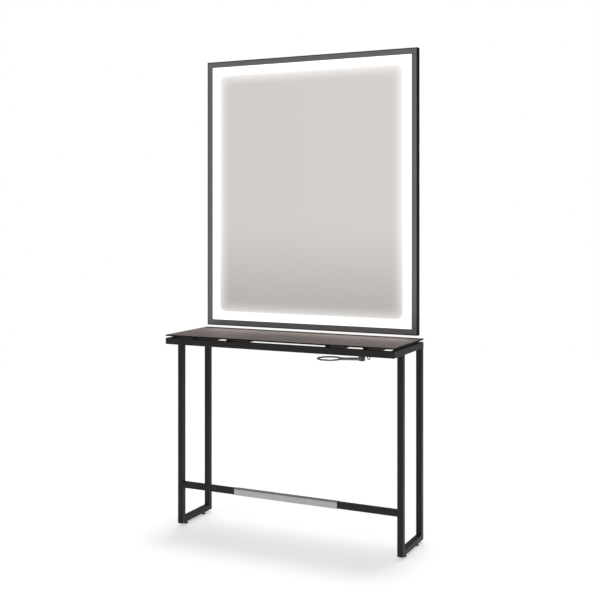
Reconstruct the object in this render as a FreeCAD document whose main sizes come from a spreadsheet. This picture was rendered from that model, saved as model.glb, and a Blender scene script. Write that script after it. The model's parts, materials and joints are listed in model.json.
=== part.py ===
"""Salon styling station: a slim steel console with a lifted worktop, a dryer holder and a lit wall mirror.

Frame: X = 0 at mid width, Y = 0 at the wall with -Y towards the client, Z = 0 on the floor. Millimetres.
Every driving size is a cell of the sheet "Dim"; the sub-parts are bound to those cells.
"""
import FreeCAD, Part
import os
import Sketcher
from FreeCAD import Placement, Rotation, Vector

doc = FreeCAD.newDocument("styling_station")

# ---------------------------------------------------------------- driving sizes

SIZES = [
    # console frame
    ("table_width", 1050),
    ("table_depth", 350),
    ("worktop_height", 853),
    ("worktop_thickness", 6),
    ("worktop_lift", 8),
    ("worktop_edge", 0.6),
    ("rail_height", 27),
    ("tube_size", 25),
    ("tube_wall", 1.5),
    ("tube_corner", 2),
    ("leg_setback", 97),
    ("bearer_width", 20),
    ("bearer_height", 34),
    ("bearer_inner", 229),
    ("bearer_outer", 393),
    ("bearer_plug_depth", 4),
    ("footrest_height", 170),
    ("cover_length", 480),
    ("cover_sheet", 1.5),
    ("cover_lip", 6),
    ("cover_screw_inset", 40),
    ("cover_screw_radius", 1.75),
    ("cover_screw_head", 1.5),
    # worktop fixings
    ("top_screw_radius", 2),
    ("top_screw_pitch", 220),
    ("top_screw_bite", 4),
    ("top_screw_head", 2.5),
    ("insert_radius", 3.5),
    ("insert_depth", 4.5),
    # fixing of the console to the wall
    ("wall_bolt_inset", 75),
    ("wall_bolt_radius", 3.5),
    ("bush_radius", 6),
    # levelling glides
    ("glide_height", 11),
    ("glide_pad_radius", 9.5),
    ("glide_pad_thickness", 6),
    ("glide_pad_foot_edge", 1),
    ("glide_pad_top_edge", 1.5),
    ("glide_stud_radius", 4),
    ("glide_stud_reach", 22),
    ("glide_collar_radius", 7.4),
    ("glide_insert_radius", 7),
    ("glide_insert_length", 13),
    ("glide_front_gap", 22),
    ("glide_rear_gap", 30),
    ("running_gap", 0.05),
    # dryer holder
    ("holder_offset", 384),
    ("holder_swing", 18.2),
    ("holder_reach", 129),
    ("ring_radius", 47),
    ("ring_rod_radius", 3.5),
    ("arm_radius", 6),
    ("arm_wall", 1.5),
    ("arm_sink", 3.5),
    ("hub_radius", 13),
    ("hub_height", 14),
    ("hub_edge", 1.2),
    ("boss_flange", 3),
    ("washer_thickness", 1),
    ("washer_inset", 1),
    ("spigot_radius", 5),
    ("pivot_screw_radius", 2.5),
    ("pivot_head_radius", 6.5),
    ("pivot_head_height", 3.2),
    ("pivot_head_play", 0.5),
    ("pivot_recess", 0.8),
    ("pivot_socket_radius", 2),
    ("pivot_socket_depth", 1.9),
    ("rivet_nut_length", 10),
    ("rivet_nut_wall", 1),
    ("hook_offset", 24),
    ("hook_wire_radius", 2),
    ("hook_bend", 5),
    ("hook_shank", 6),
    ("hook_tip", 3),
    # mirror
    ("mirror_width", 1015),
    ("mirror_height", 1205),
    ("mirror_lift", 12.5),
    ("frame_face", 26),
    ("frame_depth", 27),
    ("frame_wall", 2),
    ("frame_lip", 8),
    ("frame_lip_sheet", 3),
    ("frame_edge", 0.8),
    ("glass_thickness", 4),
    ("glass_gap", 1),
    ("diffuser_width", 56),
    ("diffuser_sheet", 2),
    ("key_leg", 45),
    ("key_gap", 0.2),
    ("panel_sheet", 1.5),
    ("panel_setback", 10.5),
    ("panel_gap", 0.5),
    ("panel_rear_gap", 2),
    ("led_width", 10),
    ("led_height", 2),
    ("led_inset", 20),
    ("hang_rail_length", 800),
    ("hang_rail_drop", 190),
    ("hang_sheet", 2),
    ("hang_lip_play", 0.4),
    ("hang_hole_radius", 3),
    ("hang_hole_outer", 350),
    ("hang_hole_inner", 120),
    ("hang_foot", 25),
    ("hang_lip", 15),
    ("hang_hook_drop", 10),
    ("hang_face", 25),
    ("hang_rivet_rise", 13),
    ("hang_rivet_radius", 2),
    ("hang_rivet_head_radius", 4),
    ("hang_rivet_head", 1.2),
    ("driver_length", 200),
    ("driver_width", 50),
    ("driver_thickness", 9),
    ("driver_rise", 150),
    ("grommet_radius", 10),
    ("grommet_offset", 40),
    ("grommet_rim", 2.5),
    ("grommet_lip", 1.5),
    ("lead_radius", 3.5),
    ("bumper_radius", 10),
    ("bumper_inset", 90),
    ("bumper_rise", 80),
]

dim = doc.addObject("Spreadsheet::Sheet", "Dim")
for row, (alias, value) in enumerate(SIZES, start=1):
    dim.set(f"A{row}", alias)
    dim.set(f"B{row}", str(value))
    dim.setAlias(f"B{row}", alias)
doc.recompute()


def size(expression):
    """Number that an expression of the sheet gives now."""
    return float(dim.evalExpression(expression))


# places that several sub-parts share, as expressions of the sheet
RAIL_TOP = "(Dim.worktop_height - Dim.worktop_thickness - Dim.worktop_lift)"
RAIL_BOTTOM = f"({RAIL_TOP} - Dim.rail_height)"
BEARER_TOP = f"({RAIL_TOP} + Dim.worktop_lift)"
LEG_FRONT = "(Dim.leg_setback - Dim.table_depth)"
SIDE = "(Dim.table_width / 2)"
LOOP_DEPTH = "(Dim.table_depth - Dim.leg_setback)"
HOLDER_Y = "(Dim.tube_size / 2 - Dim.table_depth)"
HUB_TOP = f"({RAIL_BOTTOM} - Dim.boss_flange - Dim.washer_thickness)"
HUB_BOTTOM = f"({HUB_TOP} - Dim.hub_height)"
ARM_LEVEL = f"({HUB_TOP} - Dim.hub_height / 2)"
HEAD_RECESS = "(Dim.pivot_head_height + Dim.pivot_recess)"
MIRROR_BOTTOM = "(Dim.worktop_height + Dim.mirror_lift)"
MIRROR_MIDDLE = f"({MIRROR_BOTTOM} + Dim.mirror_height / 2)"
REBATE = "(Dim.frame_face - Dim.frame_lip)"
GLASS_FRONT = "(Dim.frame_depth - Dim.frame_lip_sheet)"
GLASS_BACK = f"({GLASS_FRONT} - Dim.glass_thickness)"
GLASS_WIDTH = f"(Dim.mirror_width - 2 * {REBATE} - 2 * Dim.glass_gap)"
GLASS_HEIGHT = f"(Dim.mirror_height - 2 * {REBATE} - 2 * Dim.glass_gap)"
PANEL_FRONT = "(Dim.panel_setback + Dim.panel_sheet)"
PANEL_WIDTH = f"(Dim.mirror_width - 2 * {REBATE} - 2 * Dim.panel_gap)"
PANEL_HEIGHT = f"(Dim.mirror_height - 2 * {REBATE} - 2 * Dim.panel_gap)"
HANG_LEVEL = f"({MIRROR_BOTTOM} + Dim.mirror_height - Dim.hang_rail_drop)"
DRIVER_LEVEL = f"({MIRROR_BOTTOM} + Dim.driver_rise)"

subparts = []
NEAR = 1e-4


def subpart(item, label):
    """Name an object as a sub-part, so that it is checked and written."""
    item.Label = label
    subparts.append(item)
    return item


def place(item, spot, rotation=Rotation()):
    """Bind an object's place to three expressions, with a fixed rotation."""
    item.Placement = Placement(Vector(), rotation)
    for axis, expression in zip("xyz", spot):
        item.setExpression(f"Placement.Base.{axis}", expression)


# ---------------------------------------------------------------- primitives

def box(name, length, width, height, spot):
    """Part box from three size expressions, with its low corner at spot."""
    item = doc.addObject("Part::Box", name)
    item.setExpression("Length", length)
    item.setExpression("Width", width)
    item.setExpression("Height", height)
    place(item, spot)
    return item


UP = Rotation()
TO_WALL = Rotation(Vector(1, 0, 0), -90)
TO_RIGHT = Rotation(Vector(0, 1, 0), 90)


def cylinder(name, radius, height, spot, rotation=UP):
    """Part cylinder from expressions, rising from spot along its rotated axis."""
    item = doc.addObject("Part::Cylinder", name)
    item.setExpression("Radius", radius)
    item.setExpression("Height", height)
    place(item, spot, rotation)
    return item


def compound(name, items):
    item = doc.addObject("Part::Compound", name)
    item.Links = items
    return item


def fuse(name, items):
    item = doc.addObject("Part::MultiFuse", name)
    item.Shapes = items
    return item


def cut(name, base, tools):
    """Base with every tool taken away."""
    item = doc.addObject("Part::Cut", name)
    item.Base = base
    item.Tool = tools[0] if len(tools) == 1 else compound(f"{name}_tools", tools)
    return item


def screw(name, shank, length, head, head_height, spot, rotation=UP):
    """Screw whose shank rises from the head's seat at spot."""
    stem = cylinder(f"{name}_shank", shank, length, spot, rotation)
    cap = cylinder(f"{name}_head", head, head_height, spot, rotation)
    back = rotation.multVec(Vector(0, 0, -1))
    for axis, expression, step in zip("xyz", spot, back):
        cap.setExpression(f"Placement.Base.{axis}", f"{expression} + {step:.0f} * ({head_height})")
    return fuse(name, [stem, cap])


# ---------------------------------------------------------------- sketches

def origin_plane(body, role):
    """Origin plane of a body, such as XY_Plane."""
    return next(item for item in body.Origin.OriginFeatures if item.Role == role)


def new_body(label):
    body = doc.addObject("PartDesign::Body", label)
    return subpart(body, label)


def new_sketch(body, name, role, offset="0"):
    """Sketch on an origin plane of its body, moved along the plane's normal by an expression."""
    sketch = body.newObject("Sketcher::SketchObject", name)
    sketch.AttachmentSupport = [(origin_plane(body, role), "")]
    sketch.MapMode = "FlatFace"
    sketch.setExpression("AttachmentOffset.Base.z", offset)
    return sketch


def pin(sketch, geometry, vertex, x_expression, y_expression):
    """Hold one sketch point at the two expressions."""
    for kind, expression, zero_axis in (("DistanceX", x_expression, -2), ("DistanceY", y_expression, -1)):
        value = size(expression)
        if abs(value) < 1e-9:
            sketch.addConstraint(Sketcher.Constraint("PointOnObject", geometry, vertex, zero_axis))
            continue
        index = sketch.addConstraint(Sketcher.Constraint(kind, -1, 1, geometry, vertex, value))
        sketch.setExpression(f"Constraints[{index}]", expression)


def polygon(sketch, corners):
    """Closed outline of straight lines through corners given as pairs of expressions."""
    points = [Vector(size(x), size(y), 0) for x, y in corners]
    first = sketch.GeometryCount
    count = len(points)
    for start, end in zip(points, points[1:] + points[:1]):
        sketch.addGeometry(Part.LineSegment(start, end), False)
    for index in range(count):
        following = first + (index + 1) % count
        sketch.addConstraint(Sketcher.Constraint("Coincident", first + index, 2, following, 1))
    for index, (x, y) in enumerate(corners):
        pin(sketch, first + index, 1, x, y)


def rectangle(sketch, x_low, x_high, y_low, y_high):
    polygon(sketch, [(x_low, y_low), (x_high, y_low), (x_high, y_high), (x_low, y_high)])


def circle(sketch, x, y, radius):
    """Circle with its centre and radius bound to expressions."""
    centre = Vector(size(x), size(y), 0)
    index = sketch.addGeometry(Part.Circle(centre, Vector(0, 0, 1), size(radius)), False)
    pin(sketch, index, 3, x, y)
    bound = sketch.addConstraint(Sketcher.Constraint("Radius", index, size(radius)))
    sketch.setExpression(f"Constraints[{bound}]", radius)


def pad(body, name, sketch, length, midplane=False, reverse=False):
    feature = body.newObject("PartDesign::Pad", name)
    feature.Profile = sketch
    feature.setExpression("Length", length)
    feature.Midplane = midplane
    feature.Reversed = reverse
    return feature


def pocket_through(body, name, sketch):
    """Cut a sketch right through its body, both ways."""
    feature = body.newObject("PartDesign::Pocket", name)
    feature.Profile = sketch
    feature.Type = "ThroughAll"
    feature.Midplane = True
    return feature


def revolve(body, name, sketch):
    feature = body.newObject("PartDesign::Revolution", name)
    feature.Profile = sketch
    feature.ReferenceAxis = (sketch, ["V_Axis"])
    feature.Angle = 360
    return feature


def edges_along_x(feature, corners):
    """Names of a feature's edges along X that pass through (Y, Z) corners given as expressions."""
    spots = [(size(y), size(z)) for y, z in corners]
    names = []
    for number, edge in enumerate(feature.Shape.Edges, start=1):
        bounds = edge.BoundBox
        straight = bounds.YLength < NEAR and bounds.ZLength < NEAR
        if straight and any(abs(bounds.YMin - y) < NEAR and abs(bounds.ZMin - z) < NEAR for y, z in spots):
            names.append(f"Edge{number}")
    return names


def round_edges(body, name, base, corners, radius):
    """Fillet the edges along X at the given corners of the section."""
    doc.recompute()
    feature = body.newObject("PartDesign::Fillet", name)
    feature.Base = (base, edges_along_x(base, corners))
    feature.setExpression("Radius", radius)
    return feature


# ---------------------------------------------------------------- bars

def bar(label, outline, hollow, rounded, radius, length, spot, rotation):
    """Bar along local X with a drawn section in local YZ, some of its corners rounded."""
    body = new_body(label)
    section = new_sketch(body, f"{label}_section", "YZ_Plane")
    polygon(section, outline)
    if hollow:
        polygon(section, hollow)
    prism = pad(body, f"{label}_bar", section, length, midplane=True)
    round_edges(body, f"{label}_corners", prism, rounded, radius)
    place(body, spot, rotation)
    doc.recompute()
    return body


def mitre(body, length, width, ends):
    """Cut a bar's ends at 45 degrees, longest on the face at local Y = 0."""
    corners = new_sketch(body, f"{body.Label}_mitres", "XY_Plane")
    for end in ends:
        tip = f"{end} * {length} / 2"
        inner = f"{end} * ({length} / 2 - {width})"
        past = f"{end} * ({length} / 2 + 1)"
        polygon(corners, [(tip, "0"), (inner, width), (past, width), (past, "0")])
    pocket_through(body, f"{body.Label}_ends", corners)


def tube_outline(width, height):
    return [("0", "0"), (width, "0"), (width, height), ("0", height)]


def tube_hollow(width, height):
    far = f"{width} - Dim.tube_wall"
    top = f"{height} - Dim.tube_wall"
    wall = "Dim.tube_wall"
    return [(wall, wall), (far, wall), (far, top), (wall, top)]


TUBE = "Dim.tube_size"


def tube(label, width, height, length, spot, rotation):
    outline = tube_outline(width, height)
    return bar(label, outline, tube_hollow(width, height), outline, "Dim.tube_corner", length, spot, rotation)


def mitred_tube(label, height, length, ends, spot, rotation):
    """Frame tube whose ends, given as -1 and +1, are mitred where they are named."""
    body = tube(label, TUBE, height, length, spot, rotation)
    mitre(body, length, TUBE, ends)
    return body


def axes(x, y):
    """Rotation that turns local X and Y to the two given directions."""
    x, y = Vector(*x), Vector(*y)
    return Rotation(x, y, x.cross(y), "XYZ")


def hole_cutter(body, name, role, x, y, radius, depth, start):
    """Round pocket in a body from an offset plane, against the plane's normal."""
    sketch = new_sketch(body, f"{name}_circle", role, start)
    for x_centre, y_centre in zip(x, y):
        circle(sketch, x_centre, y_centre, radius)
    feature = body.newObject("PartDesign::Pocket", name)
    feature.Profile = sketch
    feature.setExpression("Length", depth)
    return feature


def top_ring():
    """Four mitred rails that carry everything else."""
    rail = "Dim.rail_height"
    front = mitred_tube("top_front_rail", rail, "Dim.table_width", (-1, 1),
                        ("0", "-Dim.table_depth", RAIL_BOTTOM), axes((1, 0, 0), (0, 1, 0)))
    doc.recompute()
    hole_cutter(front, "pivot_hole", "XY_Plane", ["Dim.holder_offset"], ["Dim.tube_size / 2"],
                "Dim.pivot_screw_radius + Dim.rivet_nut_wall", "2 * Dim.tube_wall", "1.5 * Dim.tube_wall")
    doc.recompute()
    hole_cutter(front, "hook_hole", "XY_Plane", ["Dim.holder_offset + Dim.hook_offset"],
                ["Dim.tube_size / 2"], "Dim.hook_wire_radius", "2 * Dim.tube_wall", "1.5 * Dim.tube_wall")
    rear = mitred_tube("top_rear_rail", rail, "Dim.table_width", (-1, 1),
                       ("0", "0", RAIL_BOTTOM), axes((-1, 0, 0), (0, -1, 0)))
    doc.recompute()
    bolt = f"({SIDE} - Dim.wall_bolt_inset)"
    bolt_holes = new_sketch(rear, "wall_bolt_circles", "XZ_Plane")
    for side in (-1, 1):
        circle(bolt_holes, f"{side} * {bolt}", "Dim.rail_height / 2", "Dim.bush_radius")
    pocket_through(rear, "wall_bolt_holes", bolt_holes)
    middle = "-Dim.table_depth / 2"
    mitred_tube("top_left_rail", rail, "Dim.table_depth", (-1, 1),
                (f"-{SIDE}", middle, RAIL_BOTTOM), axes((0, -1, 0), (1, 0, 0)))
    mitred_tube("top_right_rail", rail, "Dim.table_depth", (-1, 1),
                (SIDE, middle, RAIL_BOTTOM), axes((0, 1, 0), (-1, 0, 0)))


def wall_bushes():
    """Steel bushes that stop a wall bolt crushing the rear rail."""
    bushes = []
    for side in (-1, 1):
        spot = (f"{side} * ({SIDE} - Dim.wall_bolt_inset)", "-Dim.tube_size",
                f"{RAIL_BOTTOM} + Dim.rail_height / 2")
        sleeve = cylinder(f"bush_{side + 2}", "Dim.bush_radius", TUBE, spot, TO_WALL)
        bore = cylinder(f"bush_bore_{side + 2}", "Dim.wall_bolt_radius", TUBE, spot, TO_WALL)
        bushes.append(cut(f"bush_cut_{side + 2}", sleeve, [bore]))
    subpart(compound("bushes", bushes), "wall_fixing_bushes")


def screw_rows():
    """Y places of the two worktop screws in each bearer, as expressions."""
    return [f"-Dim.table_depth / 2 + {end} * Dim.top_screw_pitch / 2" for end in (-1, 1)]


BEARERS = {
    "worktop_bearer_outer_left": "-Dim.bearer_outer",
    "worktop_bearer_inner_left": "-Dim.bearer_inner",
    "worktop_bearer_inner_right": "Dim.bearer_inner",
    "worktop_bearer_outer_right": "Dim.bearer_outer",
}


def bearers():
    """Front-to-back tubes that stand proud of the rails and hold the worktop clear of them."""
    plugs = []
    width, height, wall = "Dim.bearer_width", "Dim.bearer_height", "Dim.tube_wall"
    span = "(Dim.table_depth - 2 * Dim.tube_size)"
    low = f"{BEARER_TOP} - {height}"
    for label, middle in BEARERS.items():
        body = tube(label, width, height, span, (f"{middle} + {width} / 2", "-Dim.table_depth / 2", low),
                    axes((0, 1, 0), (-1, 0, 0)))
        holes = new_sketch(body, f"{label}_circles", "XY_Plane")
        for row in screw_rows():
            circle(holes, f"{row} + Dim.table_depth / 2", f"{width} / 2", "Dim.top_screw_radius")
        pocket_through(body, f"{label}_holes", holes)
        for end in (-1, 1):
            near = f"-Dim.table_depth / 2 + {end} * {span} / 2"
            plugs.append(box(f"{label}_plug_{end + 1}", f"{width} - 2 * {wall}", "Dim.bearer_plug_depth",
                             f"{height} - 2 * {wall}",
                             (f"{middle} - {width} / 2 + {wall}",
                              near if end < 0 else f"{near} - Dim.bearer_plug_depth", f"{low} + {wall}")))
    subpart(compound("bearer_plugs", plugs), "bearer_end_plugs")


def worktop():
    """Thin compact board with eased top edges, and blind holes for its threaded inserts."""
    body = new_body("worktop")
    outline = new_sketch(body, "worktop_outline", "XY_Plane")
    rectangle(outline, f"-{SIDE}", SIDE, "-Dim.table_depth", "0")
    pad(body, "worktop_board", outline, "Dim.worktop_thickness")
    doc.recompute()
    holes = new_sketch(body, "worktop_holes", "XY_Plane")
    for middle in BEARERS.values():
        for row in screw_rows():
            circle(holes, middle, row, "Dim.insert_radius")
    drill = body.newObject("PartDesign::Pocket", "worktop_drill")
    drill.Profile = holes
    drill.setExpression("Length", "Dim.insert_depth")
    drill.Reversed = True
    doc.recompute()
    ease = body.newObject("PartDesign::Chamfer", "worktop_ease")
    ease.Base = (drill, top_edges(drill, size("Dim.worktop_thickness")))
    ease.setExpression("Size", "Dim.worktop_edge")
    place(body, ("0", "0", BEARER_TOP))
    inserts, screws = [], []
    for number, (middle, row) in enumerate((x, y) for x in BEARERS.values() for y in screw_rows()):
        top = (middle, row, BEARER_TOP)
        sleeve = cylinder(f"insert_{number}", "Dim.insert_radius", "Dim.insert_depth", top)
        bore = cylinder(f"insert_bore_{number}", "Dim.top_screw_radius", "Dim.insert_depth", top)
        inserts.append(cut(f"insert_cut_{number}", sleeve, [bore]))
        screws.append(screw(f"top_screw_{number}", "Dim.top_screw_radius",
                            "Dim.bearer_height + Dim.top_screw_bite", "2 * Dim.top_screw_radius",
                            "Dim.top_screw_head", (middle, row, f"({BEARER_TOP} - Dim.bearer_height)")))
    subpart(compound("inserts", inserts), "worktop_inserts")
    subpart(compound("top_screws", screws), "worktop_screws")


def top_edges(feature, level):
    """Names of a feature's edges that lie in the plane Z = level."""
    names = []
    for number, edge in enumerate(feature.Shape.Edges, start=1):
        bounds = edge.BoundBox
        if abs(bounds.ZMin - level) < NEAR and abs(bounds.ZMax - level) < NEAR:
            names.append(f"Edge{number}")
    return names


SIDES = {"left": -1, "right": 1}


def end_loops():
    """Front leg, rear leg and floor rail on each side, mitred at the floor."""
    leg_length = f"({RAIL_BOTTOM} - Dim.glide_height)"
    leg_middle = f"Dim.glide_height + {leg_length} / 2"
    for name, side in SIDES.items():
        outer = f"{side} * {SIDE}"
        inner = f"{side} * ({SIDE} - Dim.tube_size)"
        low_x = outer if side < 0 else inner
        high_x = inner if side < 0 else outer
        mitred_tube(f"leg_front_{name}", TUBE, leg_length, (-1,),
                    (high_x, LEG_FRONT, leg_middle), axes((0, 0, 1), (0, 1, 0)))
        mitred_tube(f"leg_rear_{name}", TUBE, leg_length, (-1,),
                    (low_x, "0", leg_middle), axes((0, 0, 1), (0, -1, 0)))
        rail = mitred_tube(f"floor_rail_{name}", TUBE, LOOP_DEPTH, (-1, 1),
                           (low_x, f"-{LOOP_DEPTH} / 2", "Dim.glide_height"), axes((0, 1, 0), (0, 0, 1)))
        doc.recompute()
        seats = new_sketch(rail, f"glide_seats_{name}", "XZ_Plane")
        for spot in glide_rows():
            circle(seats, f"{spot} + {LOOP_DEPTH} / 2", "Dim.tube_size / 2", "Dim.glide_insert_radius")
        drill = rail.newObject("PartDesign::Pocket", f"glide_holes_{name}")
        drill.Profile = seats
        drill.setExpression("Length", "2 * Dim.tube_wall")
        drill.Midplane = True


def glide_rows():
    """Y places of the front and rear glides, as expressions."""
    return [f"({LEG_FRONT} + Dim.tube_size + Dim.glide_front_gap)", "(-Dim.tube_size - Dim.glide_rear_gap)"]


def glides():
    """Four screw glides, each screwed fully in, and the threaded inserts that hold them."""
    inserts = []
    for side_name, side in SIDES.items():
        for end_name, row in zip(("front", "rear"), glide_rows()):
            name = f"{end_name}_{side_name}"
            middle = f"{side} * ({SIDE} - Dim.tube_size / 2)"
            sleeve = cylinder(f"glide_insert_{name}", "Dim.glide_insert_radius", "Dim.glide_insert_length",
                              (middle, row, "Dim.glide_height"))
            bore = cylinder(f"glide_bore_{name}", "Dim.glide_stud_radius + Dim.running_gap",
                            "Dim.glide_insert_length", (middle, row, "Dim.glide_height"))
            inserts.append(cut(f"glide_insert_cut_{name}", sleeve, [bore]))
            glide_pad(name, middle, row)
            glide_stud(name, middle, row)
    subpart(compound("glide_insert_set", inserts), "glide_inserts")


def glide_pad(name, middle, row):
    """Moulded foot with rounded rims, open on top for the stud."""
    body = new_body(f"glide_pad_{name}")
    outline = new_sketch(body, f"glide_pad_outline_{name}", "XZ_Plane")
    radius, top = "Dim.glide_pad_radius", "Dim.glide_pad_thickness"
    socket = "Dim.glide_stud_radius"
    half = f"{top} / 2"
    foot, rim = "Dim.glide_pad_foot_edge", "Dim.glide_pad_top_edge"
    polygon(outline, [("0", "0"), (f"{radius} - {foot}", "0"), (radius, foot), (radius, f"{top} - {rim}"),
                      (f"{radius} - {rim}", top), (socket, top), (socket, half), ("0", half)])
    revolve(body, f"glide_pad_turn_{name}", outline)
    place(body, (middle, row, "0"))


def glide_stud(name, middle, row):
    """Threaded stud with the hexagon that stops under the floor rail."""
    half = "Dim.glide_pad_thickness / 2"
    stem = cylinder(f"glide_stem_{name}", "Dim.glide_stud_radius",
                    f"Dim.glide_height + Dim.glide_stud_reach - {half}", (middle, row, half))
    collar = doc.addObject("Part::Prism", f"glide_hexagon_{name}")
    collar.Polygon = 6
    collar.setExpression("Circumradius", "Dim.glide_collar_radius")
    collar.setExpression("Height", "Dim.glide_height - Dim.glide_pad_thickness")
    place(collar, (middle, row, "Dim.glide_pad_thickness"))
    subpart(fuse(f"glide_stud_set_{name}", [stem, collar]), f"glide_stud_{name}")


def footrest():
    """Bar between the front legs, with a bright folded cover clipped round its middle."""
    along = axes((1, 0, 0), (0, 1, 0))
    spot = ("0", LEG_FRONT, "Dim.footrest_height")
    places = [f"{end} * (Dim.cover_length / 2 - Dim.cover_screw_inset)" for end in (-1, 1)]
    middle = "Dim.tube_size / 2"
    rows = [middle] * len(places)
    bore, wall, sheet = "Dim.cover_screw_radius", "Dim.tube_wall", "Dim.cover_sheet"
    rest = tube("footrest_bar", TUBE, TUBE, "(Dim.table_width - 2 * Dim.tube_size)", spot, along)
    hole_cutter(rest, "bar_holes", "XY_Plane", places, rows, bore, f"2 * {wall}", f"1.5 * {wall}")

    low, far, lip = f"-{sheet}", f"Dim.tube_size + {sheet}", "Dim.cover_lip"
    upper = f"Dim.tube_size - {lip}"
    outside = [(low, low), (far, low), (far, far), (low, far)]
    inside = tube_outline(TUBE, TUBE)
    section = [(low, low), (far, low), (far, lip), (TUBE, lip), (TUBE, "0"), ("0", "0"),
               ("0", TUBE), (TUBE, TUBE), (TUBE, upper), (far, upper), (far, far), (low, far)]
    cover = bar("footrest_cover", section, None, inside, "Dim.tube_corner", "Dim.cover_length", spot, along)
    round_edges(cover, "cover_bends", cover.Tip, outside, f"Dim.tube_corner + {sheet}")
    doc.recompute()
    hole_cutter(cover, "cover_holes", "XY_Plane", places, rows, bore, f"2 * {sheet}", f"0.5 * {sheet}")
    screws = [screw(f"cover_screw_{index}", bore, f"{sheet} + {wall}", f"2 * {bore}", "Dim.cover_screw_head",
                    (x, f"({LEG_FRONT} + {middle})", f"(Dim.footrest_height - {sheet})"))
              for index, x in enumerate(places)]
    subpart(compound("cover_screws", screws), "footrest_cover_screws")


# ---------------------------------------------------------------- dryer holder

HOLDER_X = "Dim.holder_offset"


def holder_fixed():
    """What stays on the rail: boss, friction washer, pivot screw and its rivet nut."""
    boss = new_body("holder_boss")
    outline = new_sketch(boss, "boss_outline", "XZ_Plane")
    spigot_end = f"-(Dim.boss_flange + Dim.washer_thickness + Dim.hub_height - {HEAD_RECESS})"
    polygon(outline, [("Dim.pivot_screw_radius", "0"), ("Dim.hub_radius", "0"),
                      ("Dim.hub_radius", "-Dim.boss_flange"), ("Dim.spigot_radius", "-Dim.boss_flange"),
                      ("Dim.spigot_radius", spigot_end), ("Dim.pivot_screw_radius", spigot_end)])
    revolve(boss, "boss_turn", outline)
    place(boss, (HOLDER_X, HOLDER_Y, RAIL_BOTTOM))
    washer_low = f"{RAIL_BOTTOM} - Dim.boss_flange - Dim.washer_thickness"
    disc = cylinder("washer_disc", "Dim.hub_radius - Dim.washer_inset", "Dim.washer_thickness",
                    (HOLDER_X, HOLDER_Y, washer_low))
    bore = cylinder("washer_bore", "Dim.spigot_radius + 2 * Dim.running_gap", "Dim.washer_thickness",
                    (HOLDER_X, HOLDER_Y, washer_low))
    subpart(cut("washer_cut", disc, [bore]), "holder_friction_washer")
    seat = f"({HUB_BOTTOM} + {HEAD_RECESS})"
    reach = f"{RAIL_BOTTOM} + 0.8 * Dim.rivet_nut_length - {seat}"
    pivot = screw("pivot_bolt", "Dim.pivot_screw_radius", reach, "Dim.pivot_head_radius",
                  "Dim.pivot_head_height", (HOLDER_X, HOLDER_Y, seat))
    socket = doc.addObject("Part::Prism", "pivot_socket")
    socket.Polygon = 6
    socket.setExpression("Circumradius", "Dim.pivot_socket_radius")
    socket.setExpression("Height", "Dim.pivot_socket_depth")
    place(socket, (HOLDER_X, HOLDER_Y, f"{seat} - Dim.pivot_head_height"))
    subpart(cut("pivot_cut", pivot, [socket]), "holder_pivot_screw")
    nut = cylinder("nut_body", "Dim.pivot_screw_radius + Dim.rivet_nut_wall", "Dim.rivet_nut_length",
                   (HOLDER_X, HOLDER_Y, RAIL_BOTTOM))
    thread = cylinder("nut_thread", "Dim.pivot_screw_radius", "Dim.rivet_nut_length",
                      (HOLDER_X, HOLDER_Y, RAIL_BOTTOM))
    subpart(cut("nut_cut", nut, [thread]), "holder_rivet_nut")


def swing(body):
    """Stand a holder piece on the pivot at the arm's level, turned by the rest swing."""
    place(body, (HOLDER_X, HOLDER_Y, ARM_LEVEL), Rotation(Vector(0, 0, 1), size("Dim.holder_swing")))
    body.setExpression("Placement.Rotation.Angle", "Dim.holder_swing")


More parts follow.
